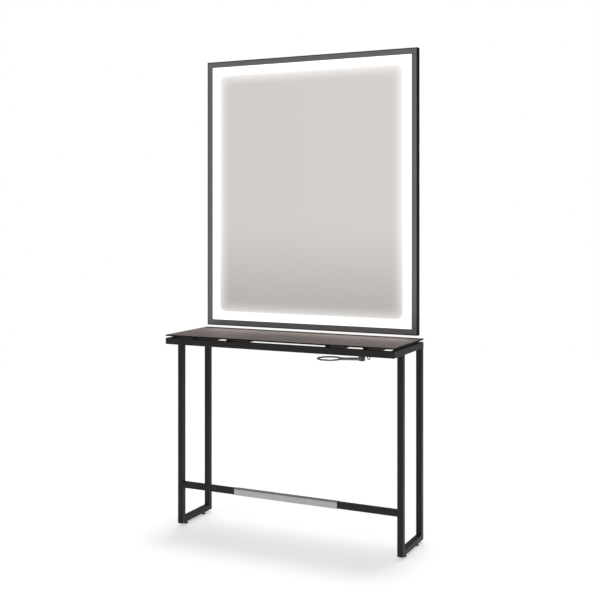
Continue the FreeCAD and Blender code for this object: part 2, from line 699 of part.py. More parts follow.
def holder_moving():
    """Hub, arm and ring: the arm runs along local -X from the hub to the ring's near side."""
    hub = new_body("holder_hub")
    outline = new_sketch(hub, "hub_outline", "XZ_Plane")
    bore = "Dim.spigot_radius + Dim.running_gap"
    recess = "Dim.pivot_head_radius + Dim.pivot_head_play"
    half = "Dim.hub_height / 2"
    edge = "Dim.hub_edge"
    polygon(outline, [(bore, half), (bore, f"-{half} + {HEAD_RECESS}"), (recess, f"-{half} + {HEAD_RECESS}"),
                      (recess, f"-{half}"), (f"Dim.hub_radius - {edge}", f"-{half}"),
                      ("Dim.hub_radius", f"-{half} + {edge}"), ("Dim.hub_radius", f"{half} - {edge}"),
                      (f"Dim.hub_radius - {edge}", half)])
    revolve(hub, "hub_turn", outline)
    doc.recompute()
    sink = "Dim.arm_sink"
    socket = new_sketch(hub, "hub_socket", "YZ_Plane", f"{sink} - Dim.hub_radius")
    circle(socket, "0", "0", "Dim.arm_radius")
    drill = hub.newObject("PartDesign::Pocket", "hub_drill")
    drill.Profile = socket
    drill.setExpression("Length", f"{sink} + 1")
    swing(hub)

    arm = new_body("holder_arm")
    section = new_sketch(arm, "arm_section", "YZ_Plane", f"{sink} - Dim.hub_radius")
    circle(section, "0", "0", "Dim.arm_radius")
    circle(section, "0", "0", "Dim.arm_radius - Dim.arm_wall")
    ring_near = "Dim.holder_reach - Dim.ring_radius"
    pad(arm, "arm_tube", section, f"{ring_near} - Dim.hub_radius + {sink}", reverse=True)
    doc.recompute()
    saddle = new_sketch(arm, "arm_saddle", "XZ_Plane")
    circle(saddle, f"Dim.ring_radius - Dim.holder_reach", "0", "Dim.ring_rod_radius")
    centre, end = size("Dim.holder_reach"), size("Dim.ring_radius")
    axis = saddle.addGeometry(Part.LineSegment(Vector(-centre, -end, 0), Vector(-centre, end, 0)), True)
    pin(saddle, axis, 1, "-Dim.holder_reach", "-Dim.ring_radius")
    pin(saddle, axis, 2, "-Dim.holder_reach", "Dim.ring_radius")
    groove = arm.newObject("PartDesign::Groove", "arm_notch")
    groove.Profile = saddle
    groove.ReferenceAxis = (saddle, ["Axis0"])
    groove.Angle = 360
    swing(arm)

    ring = doc.addObject("Part::Torus", "ring_torus")
    ring.setExpression("Radius1", "Dim.ring_radius")
    ring.setExpression("Radius2", "Dim.ring_rod_radius")
    swing_cos, swing_sin = "cos(Dim.holder_swing * 1 deg)", "sin(Dim.holder_swing * 1 deg)"
    place(ring, (f"{HOLDER_X} - Dim.holder_reach * {swing_cos}",
                 f"{HOLDER_Y} - Dim.holder_reach * {swing_sin}", ARM_LEVEL))
    subpart(ring, "holder_ring")


def cable_hook():
    """Small J hook of round wire, screwed up into the front rail beside the holder."""
    body = new_body("cable_hook")
    path = new_sketch(body, "hook_path", "XZ_Plane")
    shank, bend, far = "Dim.hook_shank", "Dim.hook_bend", "2 * Dim.hook_bend"
    corner, lowest, tip = f"-{shank}", f"-{shank} - {bend}", f"-{shank} + Dim.hook_tip"
    stops = [Vector(size(x), size(z), 0) for x, z in
             (("0", shank), ("0", corner), (bend, lowest), (far, corner), (far, tip))]
    path.addGeometry(Part.LineSegment(stops[0], stops[1]), False)
    path.addGeometry(Part.Arc(stops[1], stops[2], stops[3]), False)
    path.addGeometry(Part.LineSegment(stops[3], stops[4]), False)
    pin(path, 0, 1, "0", shank)
    pin(path, 0, 2, "0", corner)
    pin(path, 2, 1, far, corner)
    pin(path, 2, 2, far, tip)
    path.addConstraint(Sketcher.Constraint("Tangent", 0, 2, 1, 1))
    path.addConstraint(Sketcher.Constraint("Coincident", 1, 2, 2, 1))
    wire = new_sketch(body, "hook_wire", "XY_Plane", shank)
    circle(wire, "0", "0", "Dim.hook_wire_radius")
    pipe = body.newObject("PartDesign::AdditivePipe", "hook_pipe")
    pipe.Profile = wire
    pipe.Spine = (path, ["Edge1", "Edge2", "Edge3"])
    place(body, (f"{HOLDER_X} + Dim.hook_offset", HOLDER_Y, RAIL_BOTTOM))


# ---------------------------------------------------------------- mirror

def mirror_frame():
    """Four mitred hollow extrusions with a front lip for the glass, joined by corner keys."""
    face, depth, wall = "Dim.frame_face", "Dim.frame_depth", "Dim.frame_wall"
    outline = [("0", "0"), (REBATE, "0"), (REBATE, GLASS_FRONT),
               (face, GLASS_FRONT), (face, depth), ("0", depth)]
    chamber_far = f"{REBATE} - {wall}"
    chamber_top = f"{depth} - {wall}"
    hollow = [(wall, wall), (chamber_far, wall), (chamber_far, chamber_top), (wall, chamber_top)]
    top = f"{MIRROR_BOTTOM} + Dim.mirror_height"
    half_width = "Dim.mirror_width / 2"
    sides = {
        "top": ("Dim.mirror_width", ("0", "0", top), (-1, 0, 0), (0, 0, -1)),
        "bottom": ("Dim.mirror_width", ("0", "0", MIRROR_BOTTOM), (1, 0, 0), (0, 0, 1)),
        "left": ("Dim.mirror_height", (f"-{half_width}", "0", MIRROR_MIDDLE), (0, 0, -1), (1, 0, 0)),
        "right": ("Dim.mirror_height", (half_width, "0", MIRROR_MIDDLE), (0, 0, 1), (-1, 0, 0)),
    }
    front_edges = [(face, depth), ("0", depth)]
    for name, (length, spot, along, inward) in sides.items():
        body = bar(f"mirror_frame_{name}", outline, hollow, front_edges, "Dim.frame_edge", length, spot,
                   axes(along, inward))
        mitre(body, length, face, (-1, 1))


def frontal(name, width, height, sheet, front_depth, low_x, low_z):
    """Plate parallel to the wall whose front face is front_depth in front of it."""
    return box(name, width, sheet, height, (low_x, f"-({front_depth})", low_z))


def centred(name, width, height, sheet, front_depth):
    """Plate parallel to the wall, centred on the mirror."""
    low_x, low_z = f"-({width}) / 2", f"{MIRROR_MIDDLE} - ({height}) / 2"
    return frontal(name, width, height, sheet, front_depth, low_x, low_z)


def mirror_layers():
    """Glass, opal diffuser band behind its frosted border, and the light strips."""
    body = new_body("mirror_glass")
    outline = new_sketch(body, "glass_outline", "XZ_Plane")
    rectangle(outline, f"-{GLASS_WIDTH} / 2", f"{GLASS_WIDTH} / 2",
              f"-{GLASS_HEIGHT} / 2", f"{GLASS_HEIGHT} / 2")
    pad(body, "glass_pane", outline, "Dim.glass_thickness", reverse=True)
    place(body, ("0", f"-{GLASS_FRONT}", MIRROR_MIDDLE))

    band = centred("diffuser_outer", GLASS_WIDTH, GLASS_HEIGHT, "Dim.diffuser_sheet", GLASS_BACK)
    window = centred("diffuser_window", f"({GLASS_WIDTH} - 2 * Dim.diffuser_width)",
                     f"({GLASS_HEIGHT} - 2 * Dim.diffuser_width)", "Dim.diffuser_sheet", GLASS_BACK)
    subpart(cut("diffuser_cut", band, [window]), "mirror_diffuser")

    strip_width = f"({PANEL_WIDTH} - 2 * Dim.led_inset)"
    strip_height = f"({PANEL_HEIGHT} - 2 * Dim.led_inset)"
    front = f"{PANEL_FRONT} + Dim.led_height"
    low_x, low_z = f"-{strip_width} / 2", f"({MIRROR_MIDDLE} - {strip_height} / 2)"
    upright = f"{strip_height} - 2 * Dim.led_width"
    strip, tall = "Dim.led_width", "Dim.led_height"
    runs = {
        "bottom": (strip_width, strip, low_x, low_z),
        "top": (strip_width, strip, low_x, f"{low_z} + {strip_height} - {strip}"),
        "left": (strip, upright, low_x, f"{low_z} + {strip}"),
        "right": (strip, upright, f"{strip_width} / 2 - {strip}", f"{low_z} + {strip}"),
    }
    strips = [frontal(f"led_{name}", width, height, tall, front, x, z)
              for name, (width, height, x, z) in runs.items()]
    subpart(compound("led_set", strips), "led_strips")


def corner_keys():
    """Four L keys that fill the frame's chamber at its corners."""
    keys = []
    reach, gap = "Dim.key_leg", "Dim.key_gap"
    across = f"({REBATE} - 2 * Dim.frame_wall - 2 * {gap})"
    deep = f"(Dim.frame_depth - 2 * Dim.frame_wall - 2 * {gap})"
    front = f"Dim.frame_depth - Dim.frame_wall - {gap}"
    edge = f"(Dim.frame_wall + {gap})"
    for side in (-1, 1):
        for level in (-1, 1):
            outer_x = f"{side} * (Dim.mirror_width / 2 - {edge})"
            outer_z = f"{MIRROR_MIDDLE} + {level} * (Dim.mirror_height / 2 - {edge})"
            name = f"key_{side + 1}{level + 1}"
            legs = []
            for leg, (width, height) in {"flat": (reach, across), "tall": (across, reach)}.items():
                low_x = outer_x if side < 0 else f"{outer_x} - {width}"
                low_z = outer_z if level < 0 else f"{outer_z} - {height}"
                legs.append(frontal(f"{name}_{leg}", width, height, deep, front, low_x, low_z))
            keys.append(fuse(name, legs))
    subpart(compound("keys", keys), "mirror_corner_keys")


def back_panel():
    """Folded steel tray behind the light strips, its screws and its cable grommet."""
    tray = centred("tray_block", PANEL_WIDTH, PANEL_HEIGHT, f"{PANEL_FRONT} - Dim.panel_rear_gap",
                   PANEL_FRONT)
    inner_width = f"({PANEL_WIDTH} - 2 * Dim.panel_sheet)"
    inner_height = f"({PANEL_HEIGHT} - 2 * Dim.panel_sheet)"
    hollow = centred("tray_hollow", inner_width, inner_height, "Dim.panel_setback", "Dim.panel_setback")
    grommet_x = "(Dim.driver_length / 2 + Dim.grommet_offset)"
    entry = cylinder("tray_entry", "Dim.grommet_radius", "Dim.panel_sheet",
                     (grommet_x, f"-{PANEL_FRONT}", DRIVER_LEVEL), TO_WALL)
    subpart(cut("tray_cut", tray, [hollow, entry]), "mirror_back_panel")

    body = new_body("cable_grommet")
    section = new_sketch(body, "grommet_section", "XZ_Plane")
    hole, rim, lip = "Dim.grommet_radius", "Dim.grommet_radius + Dim.grommet_rim", "Dim.grommet_lip"
    lead, panel = "Dim.lead_radius", "Dim.panel_sheet"
    polygon(section, [(lead, f"-{lip}"), (rim, f"-{lip}"), (rim, "0"), (hole, "0"), (hole, panel),
                      (rim, panel), (rim, f"{panel} + {lip}"), (lead, f"{panel} + {lip}")])
    revolve(body, "grommet_turn", section)
    place(body, (grommet_x, "-Dim.panel_setback", DRIVER_LEVEL), Rotation(Vector(1, 0, 0), 90))

    case = frontal("driver_case", "Dim.driver_length", "Dim.driver_width", "Dim.driver_thickness",
                   "Dim.panel_setback", "-Dim.driver_length / 2", f"{DRIVER_LEVEL} - Dim.driver_width / 2")
    subpart(case, "led_driver")

    bumpers = [cylinder(f"bumper_{side + 1}", "Dim.bumper_radius", "Dim.panel_setback",
                        (f"{side} * (Dim.mirror_width / 2 - Dim.bumper_inset)", "-Dim.panel_setback",
                         f"{MIRROR_BOTTOM} + Dim.bumper_rise"), TO_WALL) for side in (-1, 1)]
    subpart(compound("bumper_pair", bumpers), "wall_bumpers")


def hang_section(name, label, points):
    """Bent rail along X from a section in (distance from the wall, height above the rail's foot)."""
    body = new_body(label)
    section = new_sketch(body, f"{name}_section", "YZ_Plane")
    polygon(section, [(f"-({away})", up) for away, up in points])
    pad(body, f"{name}_rail", section, "Dim.hang_rail_length", midplane=True)
    place(body, ("0", "0", HANG_LEVEL))
    return body


def hanging_rails():
    """Z rail screwed to the wall and the hooked rail riveted to the mirror's back panel."""
    sheet, back, foot = "Dim.hang_sheet", "Dim.panel_setback", "Dim.hang_foot"
    lip_top = f"{foot} + Dim.hang_lip"
    wall_rail = hang_section("wall", "mirror_wall_rail", [
        ("0", "0"), (sheet, "0"), (sheet, foot), (f"3 * {sheet}", foot), (f"3 * {sheet}", lip_top),
        (f"2 * {sheet}", lip_top), (f"2 * {sheet}", f"{foot} + {sheet}"), ("0", f"{foot} + {sheet}")])
    doc.recompute()
    holes = new_sketch(wall_rail, "wall_rail_circles", "XZ_Plane")
    for offset in ("Dim.hang_hole_outer", "Dim.hang_hole_inner"):
        for side in (-1, 1):
            circle(holes, f"{side} * {offset}", f"{foot} / 2", "Dim.hang_hole_radius")
    drill = wall_rail.newObject("PartDesign::Pocket", "wall_rail_holes")
    drill.Profile = holes
    drill.setExpression("Length", f"4 * {sheet}")
    drill.Midplane = True

    inner = f"2 * {sheet} - Dim.hang_lip_play"
    behind = f"{sheet} - Dim.hang_lip_play"
    fold, face_top = f"{lip_top} + {sheet}", f"{lip_top} + Dim.hang_face"
    hook_foot = f"{lip_top} - Dim.hang_hook_drop"
    hooked = hang_section("hanging", "mirror_hanging_rail", [
        (back, lip_top), (back, face_top), (f"{back} - {sheet}", face_top), (f"{back} - {sheet}", fold),
        (behind, fold), (behind, hook_foot), (inner, hook_foot), (inner, lip_top)])
    doc.recompute()
    rivet_spots = [f"{index - 2} * Dim.hang_rail_length / 5" for index in range(5)]
    rivet_rise, rivet_radius = f"{lip_top} + Dim.hang_rivet_rise", "Dim.hang_rivet_radius"
    rivet_holes = new_sketch(hooked, "rivet_circles", "XZ_Plane", f"{back} - {sheet} / 2")
    for spot in rivet_spots:
        circle(rivet_holes, spot, rivet_rise, rivet_radius)
    rivet_drill = hooked.newObject("PartDesign::Pocket", "rivet_holes")
    rivet_drill.Profile = rivet_holes
    rivet_drill.setExpression("Length", f"2 * {sheet}")
    rivet_drill.Midplane = True
    rivets = []
    for index, spot in enumerate(rivet_spots):
        level = f"{HANG_LEVEL} + {rivet_rise}"
        stem = cylinder(f"rivet_stem_{index}", rivet_radius, sheet, (spot, f"-{back}", level), TO_WALL)
        head = cylinder(f"rivet_head_{index}", "Dim.hang_rivet_head_radius", "Dim.hang_rivet_head",
                        (spot, f"{sheet} - {back}", level), TO_WALL)
        rivets.append(fuse(f"rivet_{index}", [stem, head]))
    subpart(compound("rivets", rivets), "hanging_rail_rivets")


# ---------------------------------------------------------------- build, check, write

top_ring()
wall_bushes()
bearers()
worktop()
end_loops()
glides()
footrest()
holder_fixed()
holder_moving()
cable_hook()
mirror_frame()
mirror_layers()
corner_keys()
back_panel()
hanging_rails()
doc.recompute()

for item in doc.Objects:
    if "Invalid" in item.State or "Error" in item.State:
        raise RuntimeError(f"{item.Label} did not rebuild: {item.State}")
for item in subparts:
    if item.Shape.isNull() or not item.Shape.isValid() or not item.Shape.Solids:
        raise RuntimeError(f"{item.Label} has no sound shape")

os.makedirs("parts", exist_ok=True)
for item in subparts:
    item.Shape.exportStep(f"parts/{item.Label}.step")
print(len(subparts), "sub-parts written")
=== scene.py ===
"""Salon styling station: finishes of its frame parts, its small welded and turned pieces, and the studio."""
import json
import math

import bmesh
import bpy
from mathutils import Matrix, Vector


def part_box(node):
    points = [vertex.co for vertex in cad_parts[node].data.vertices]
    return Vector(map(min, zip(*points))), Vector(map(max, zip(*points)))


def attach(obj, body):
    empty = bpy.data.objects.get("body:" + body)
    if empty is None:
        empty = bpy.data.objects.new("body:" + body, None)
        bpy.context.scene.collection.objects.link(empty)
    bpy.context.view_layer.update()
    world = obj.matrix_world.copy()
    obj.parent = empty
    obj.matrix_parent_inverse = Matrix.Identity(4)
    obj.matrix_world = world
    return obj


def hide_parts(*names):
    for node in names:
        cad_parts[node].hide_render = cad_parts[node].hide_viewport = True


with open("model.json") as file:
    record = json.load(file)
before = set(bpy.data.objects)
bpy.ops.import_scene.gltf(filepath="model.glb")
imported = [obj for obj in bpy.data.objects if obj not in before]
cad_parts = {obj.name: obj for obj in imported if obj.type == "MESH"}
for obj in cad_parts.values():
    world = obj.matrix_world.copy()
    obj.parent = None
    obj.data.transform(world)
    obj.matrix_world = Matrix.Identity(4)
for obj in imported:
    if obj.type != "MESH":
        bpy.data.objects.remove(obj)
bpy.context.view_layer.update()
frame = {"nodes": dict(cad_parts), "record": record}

MM = 0.001
FULL_TURN = 2 * math.pi
STATION = "station"
HOLDER = "dryer_holder"


# ------------------------------------------------------------------ node tools

def add(tree, kind, inputs=None, **settings):
    """New node with its settings, each input set to a value or joined to an output."""
    node = tree.nodes.new(kind)
    for name, value in settings.items():
        setattr(node, name, value)
    for name, value in (inputs or {}).items():
        if isinstance(value, bpy.types.NodeSocket):
            tree.links.new(value, node.inputs[name])
        else:
            node.inputs[name].default_value = value
    return node


def maths(tree, operation, *values):
    """Output of a math node whose inputs are numbers or outputs."""
    return add(tree, "ShaderNodeMath", dict(enumerate(values)), operation=operation).outputs[0]


def rescale(tree, value, low, high, new_low=0.0, new_high=1.0, smooth=False):
    """Value moved from one range to another, and held inside it."""
    inputs = {"Value": value, "From Min": low, "From Max": high, "To Min": new_low, "To Max": new_high}
    step = "SMOOTHSTEP" if smooth else "LINEAR"
    return add(tree, "ShaderNodeMapRange", inputs, interpolation_type=step).outputs["Result"]


def mix_colours(tree, factor, first, second):
    """Second colour laid over the first by a factor from 0 to 1."""
    inputs = {0: factor, 6: first, 7: second}
    return add(tree, "ShaderNodeMix", inputs, data_type="RGBA").outputs[2]


def mix_values(tree, factor, first, second):
    return add(tree, "ShaderNodeMix", {0: factor, 2: first, 3: second}).outputs[0]


def tone(level, warmth=0.0):
    """Colour of one grey, redder and less blue where warmth is above 0."""
    return (level * (1 + warmth), level, level * (1 - warmth), 1.0)


def noise(tree, place, scale, detail=2.0, roughness=0.5):
    inputs = {"Vector": place, "Scale": scale, "Detail": detail, "Roughness": roughness}
    return add(tree, "ShaderNodeTexNoise", inputs).outputs["Fac"]


def own_place(tree):
    """Place on the piece itself, in metres."""
    return add(tree, "ShaderNodeTexCoord").outputs["Object"]


def stretched(tree, place, scale, rotation=(0, 0, 0)):
    inputs = {"Vector": place, "Scale": scale, "Rotation": rotation}
    return add(tree, "ShaderNodeMapping", inputs).outputs["Vector"]


SOCKETS = {"value": "NodeSocketFloat", "colour": "NodeSocketColor", "vector": "NodeSocketVector"}


def new_effect(name, inputs, outputs):
    """Empty node group. Inputs are name to (kind, value), and outputs name to kind."""
    group = bpy.data.node_groups.new(name, "ShaderNodeTree")
    for socket, (kind, value) in inputs.items():
        made = group.interface.new_socket(socket, in_out="INPUT", socket_type=SOCKETS[kind])
        made.default_value = value
    for socket, kind in outputs.items():
        group.interface.new_socket(socket, in_out="OUTPUT", socket_type=SOCKETS[kind])
    return group, add(group, "NodeGroupInput").outputs


def give(group, **results):
    """Join results to the group's outputs, whose names have spaces for underscores."""
    add(group, "NodeGroupOutput", {name.replace("_", " "): value for name, value in results.items()})


def use(tree, group, **inputs):
    """Outputs of an effect placed in a material."""
    node = add(tree, "ShaderNodeGroup", node_tree=group)
    for name, value in inputs.items():
        socket = node.inputs[name.replace("_", " ")]
        if isinstance(value, bpy.types.NodeSocket):
            tree.links.new(value, socket)
        else:
            socket.default_value = value
    return node.outputs


# ------------------------------------------------------------------ shared effects

def make_grain():
    """Fine pebbled surface: two sizes of bump, and a broad drift of tone."""
    group, given = new_effect("Pebbled Grain", {"Grain Size": ("value", 0.001)},
                              {"Height": "value", "Drift": "value"})
    place = own_place(group)
    scale = maths(group, "DIVIDE", 1.0, given["Grain Size"])
    coarse = noise(group, place, scale)
    fine = noise(group, place, maths(group, "MULTIPLY", scale, 3.1))
    height = maths(group, "ADD", coarse, maths(group, "MULTIPLY", fine, 0.4))
    give(group, Height=height, Drift=noise(group, place, 5.0, detail=3.0))
    return group


def make_streaks():
    """Brushed lines: noise drawn out along one direction, fine over coarse."""
    group, given = new_effect("Brushed Streaks", {"Stretch": ("vector", (1, 1, 1))}, {"Streak": "value"})
    drawn = add(group, "ShaderNodeVectorMath", {0: own_place(group), 1: given["Stretch"]},
                operation="MULTIPLY").outputs[0]
    broad = noise(group, drawn, 1.0, detail=4.0, roughness=0.7)
    thin = noise(group, drawn, 4.0, detail=2.0)
    give(group, Streak=maths(group, "ADD", maths(group, "MULTIPLY", broad, 0.6),
                             maths(group, "MULTIPLY", thin, 0.4)))
    return group


def make_edge_wear():
    """Mask of rubbed edges: where rounding off the edge would turn the surface, broken up by noise."""
    group, given = new_effect("Edge Wear", {"Reach": ("value", 0.001), "Break Up": ("value", 60.0)},
                              {"Mask": "value"})
    rounded = add(group, "ShaderNodeBevel", {"Radius": given["Reach"]}, samples=4).outputs["Normal"]
    flat = add(group, "ShaderNodeNewGeometry").outputs["Normal"]
    facing = add(group, "ShaderNodeVectorMath", {0: rounded, 1: flat},
                 operation="DOT_PRODUCT").outputs["Value"]
    edge = rescale(group, facing, 0.98, 0.80, smooth=True)
    patchy = rescale(group, noise(group, own_place(group), given["Break Up"], detail=4.0), 0.35, 0.65)
    give(group, Mask=maths(group, "MULTIPLY", edge, patchy))
    return group


def make_hand_marks():
    """Soft smears and fingertip marks left by handling."""
    group, given = new_effect("Hand Marks", {"Amount": ("value", 0.5)}, {"Mask": "value"})
    place = own_place(group)
    smear = rescale(group, noise(group, stretched(group, place, (9, 9, 4)), 1.0, detail=4.0), 0.5, 0.75)
    tips = add(group, "ShaderNodeTexVoronoi", {"Vector": place, "Scale": 34.0}).outputs["Distance"]
    dabs = maths(group, "MULTIPLY", rescale(group, tips, 0.30, 0.12, smooth=True),
                 rescale(group, noise(group, place, 7.0), 0.58, 0.70))
    both = maths(group, "MAXIMUM", smear, dabs)
    give(group, Mask=maths(group, "MULTIPLY", both, given["Amount"]))
    return group


def make_scratches():
    """Sparse hair-thin scratches in two directions."""
    group, given = new_effect("Fine Scratches", {"Density": ("value", 0.5)}, {"Mask": "value"})
    place = own_place(group)
    layers = []
    for lean, scale in ((0.5, 900.0), (-0.9, 700.0)):
        lines = stretched(group, place, (scale, scale * 0.02, scale), (0, 0, lean))
        thin = rescale(group, noise(group, lines, 1.0, detail=0.0), 0.74, 0.80)
        spread = rescale(group, noise(group, place, 30.0 + lean), 0.62, 0.72)
        layers.append(maths(group, "MULTIPLY", thin, spread))
    give(group, Mask=maths(group, "MULTIPLY", maths(group, "MAXIMUM", *layers), given["Density"]))
    return group


# Painted glow: part of the lit band's emission is carried past the band onto the silvered glass.
PAINTED_GLOW_SHARE = 0.35        # share of the lit band's brightness that spreads past it


def make_lit_border():
    """Light through the mirror's frosted band, which fades softly towards the middle, and a painted glow
    that spreads past the band onto the silvered glass.
    """
    inputs = {"Half Width": ("value", 0.48), "Half Height": ("value", 0.57), "Middle": ("value", 1.47),
              "Band": ("value", 0.04), "Fade": ("value", 0.06)}
    group, given = new_effect("Lit Border", inputs, {"Frost": "value", "Glow": "value"})
    place = add(group, "ShaderNodeSeparateXYZ", {0: own_place(group)}).outputs
    across = maths(group, "ABSOLUTE", place["X"])
    upright = maths(group, "ABSOLUTE", maths(group, "SUBTRACT", place["Z"], given["Middle"]))
    from_side = maths(group, "SUBTRACT", given["Half Width"], across)
    from_top = maths(group, "SUBTRACT", given["Half Height"], upright)
    inset = maths(group, "SMOOTH_MIN", from_side, from_top, 0.05)
    past_band = maths(group, "DIVIDE", maths(group, "SUBTRACT", inset, given["Band"]), given["Fade"])
    frost = rescale(group, past_band, 0.12, -0.08, smooth=True)
    # Painted glow: emission on the silvered glass past the frosted band, fading over the fade width.
    painted_glow = maths(group, "POWER", rescale(group, past_band, 1.0, 0.0), 2.0)
    give(group, Frost=frost, Glow=maths(group, "ADD", maths(group, "MULTIPLY", frost, 1 - PAINTED_GLOW_SHARE),
                                        maths(group, "MULTIPLY", painted_glow, PAINTED_GLOW_SHARE)))
    return group


GRAIN = make_grain()
STREAKS = make_streaks()
EDGE_WEAR = make_edge_wear()
HAND_MARKS = make_hand_marks()
SCRATCHES = make_scratches()
LIT_BORDER = make_lit_border()


# ------------------------------------------------------------------ finishes

def new_finish(name, **values):
    """Material with its Principled shader's uniform values, whose names have spaces for underscores."""
    material = bpy.data.materials.new(name)
    material.use_nodes = True
    tree = material.node_tree
    shader = next(node for node in tree.nodes if node.type == "BSDF_PRINCIPLED")
    for socket, value in values.items():
        shader.inputs[socket.replace("_", " ")].default_value = value
    return material, tree, shader


def drive(tree, shader, **sources):
    """Join outputs to the shader's inputs."""
    for socket, output in sources.items():
        tree.links.new(output, shader.inputs[socket.replace("_", " ")])


def raise_surface(tree, shader, height, depth, strength=1.0):
    """Bump of the given depth in metres."""
    bump = add(tree, "ShaderNodeBump", {"Height": height, "Distance": depth, "Strength": strength})
    drive(tree, shader, Normal=bump.outputs["Normal"])


def powder_coat():
    """Satin black powder coat, finely pebbled, rubbed a little paler along its edges."""
    material, tree, shader = new_finish("satin_black_powder_coat", Specular_IOR_Level=0.14)
    grain = use(tree, GRAIN, Grain_Size=0.0011)
    wear = use(tree, EDGE_WEAR, Reach=0.0012)["Mask"]
    scuffs = use(tree, SCRATCHES, Density=0.5)["Mask"]
    base = mix_colours(tree, grain["Drift"], tone(0.018, 0.05), tone(0.027, 0.05))
    rubbed = maths(tree, "MAXIMUM", maths(tree, "MULTIPLY", wear, 0.5), scuffs)
    rough = rescale(tree, grain["Drift"], 0.3, 0.7, 0.38, 0.50)
    drive(tree, shader, Base_Color=mix_colours(tree, rubbed, base, tone(0.065, 0.04)), Roughness=rough)
    raise_surface(tree, shader, grain["Height"], 0.00006)
    return material


def laminate():
    """Compact laminate: brown-grey printed faces with a faint linen grain over a black core."""
    material, tree, shader = new_finish("brown_grey_compact_laminate", Specular_IOR_Level=0.10)
    place = own_place(tree)
    normal = add(tree, "ShaderNodeSeparateXYZ", {0: add(tree, "ShaderNodeNewGeometry").outputs["Normal"]})
    core = rescale(tree, maths(tree, "ABSOLUTE", normal.outputs["Z"]), 0.9, 0.75)
    along = noise(tree, stretched(tree, place, (18, 420, 60)), 1.0, detail=4.0, roughness=0.65)
    across = noise(tree, stretched(tree, place, (300, 30, 60)), 1.0, detail=3.0)
    clouds = noise(tree, place, 3.2, detail=4.0, roughness=0.6)
    weave = maths(tree, "ADD", maths(tree, "MULTIPLY", along, 0.55), maths(tree, "MULTIPLY", across, 0.2))
    print_tone = maths(tree, "ADD", weave, maths(tree, "MULTIPLY", clouds, 0.5))
    print_tone = rescale(tree, print_tone, 0.45, 0.8)
    face = mix_colours(tree, print_tone, (0.096, 0.081, 0.076, 1), (0.158, 0.136, 0.128, 1))
    marks = use(tree, HAND_MARKS, Amount=0.5)["Mask"]
    scuffs = use(tree, SCRATCHES, Density=0.35)["Mask"]
    face = mix_colours(tree, scuffs, face, tone(0.24, 0.06))
    rough = mix_values(tree, marks, rescale(tree, along, 0.3, 0.7, 0.56, 0.66), 0.46)
    drive(tree, shader, Base_Color=mix_colours(tree, core, face, tone(0.008, 0.1)), Roughness=rough)
    raise_surface(tree, shader, maths(tree, "ADD", along, across), 0.00004)
    return material


def brushed_metal(name, colour, stretch, rough_low, rough_high, marks=0.3):
    """Metal brushed along one direction, with a few hand marks."""
    material, tree, shader = new_finish(name, Metallic=1.0)
    lines = use(tree, STREAKS, Stretch=stretch)
    smear = use(tree, HAND_MARKS, Amount=marks)["Mask"]
    darker = tuple(channel * 0.8 for channel in colour[:3]) + (1.0,)
    shade = mix_colours(tree, rescale(tree, lines["Streak"], 0.35, 0.65), darker, colour)
    shade = mix_colours(tree, maths(tree, "MULTIPLY", smear, 0.25), shade, tone(0.3))
    rough = rescale(tree, lines["Streak"], 0.35, 0.65, rough_low, rough_high)
    drive(tree, shader, Base_Color=shade, Roughness=mix_values(tree, smear, rough, rough_high + 0.12))
    raise_surface(tree, shader, lines["Streak"], 0.00003)
    return material


def chrome():
    """Polished chrome plate with faint wipe marks and fine scratches."""
    material, tree, shader = new_finish("polished_chrome", Metallic=1.0)
    marks = use(tree, HAND_MARKS, Amount=0.8)["Mask"]
    scuffs = use(tree, SCRATCHES, Density=0.8)["Mask"]
    shade = mix_colours(tree, marks, (0.16, 0.162, 0.168, 1), (0.13, 0.13, 0.136, 1))
    rough = mix_values(tree, maths(tree, "MAXIMUM", marks, scuffs), 0.045, 0.20)
    drive(tree, shader, Base_Color=shade, Roughness=rough)
    raise_surface(tree, shader, noise(tree, own_place(tree), 120.0), 0.00002)
    return material


def zinc():
    """Bright zinc plate, slightly clouded, with a faint warm and blue cast."""
    material, tree, shader = new_finish("clouded_zinc_plate", Metallic=1.0)
    place = own_place(tree)
    cast = rescale(tree, noise(tree, place, 90.0, detail=3.0), 0.35, 0.65)
    clouds = noise(tree, place, 260.0, detail=4.0)
    drive(tree, shader, Base_Color=mix_colours(tree, cast, (0.50, 0.53, 0.58, 1), (0.60, 0.57, 0.50, 1)),
          Roughness=rescale(tree, clouds, 0.3, 0.7, 0.28, 0.46))
    raise_surface(tree, shader, clouds, 0.00004)
    return material


def moulded(name, dark, light, rough, grain_size, depth, specular=0.5):
    """Moulded plastic or rubber with a spark-eroded grain, dusty where it is paler."""
    material, tree, shader = new_finish(name, Specular_IOR_Level=specular)
    grain = use(tree, GRAIN, Grain_Size=grain_size)
    wear = use(tree, EDGE_WEAR, Reach=0.0006)["Mask"]
    dusty = maths(tree, "MAXIMUM", rescale(tree, grain["Drift"], 0.4, 0.8, 0.0, 0.6), wear)
    drive(tree, shader, Base_Color=mix_colours(tree, dusty, dark, light),
          Roughness=rescale(tree, grain["Drift"], 0.3, 0.7, rough - 0.08, rough + 0.08))
    raise_surface(tree, shader, grain["Height"], depth)
    return material


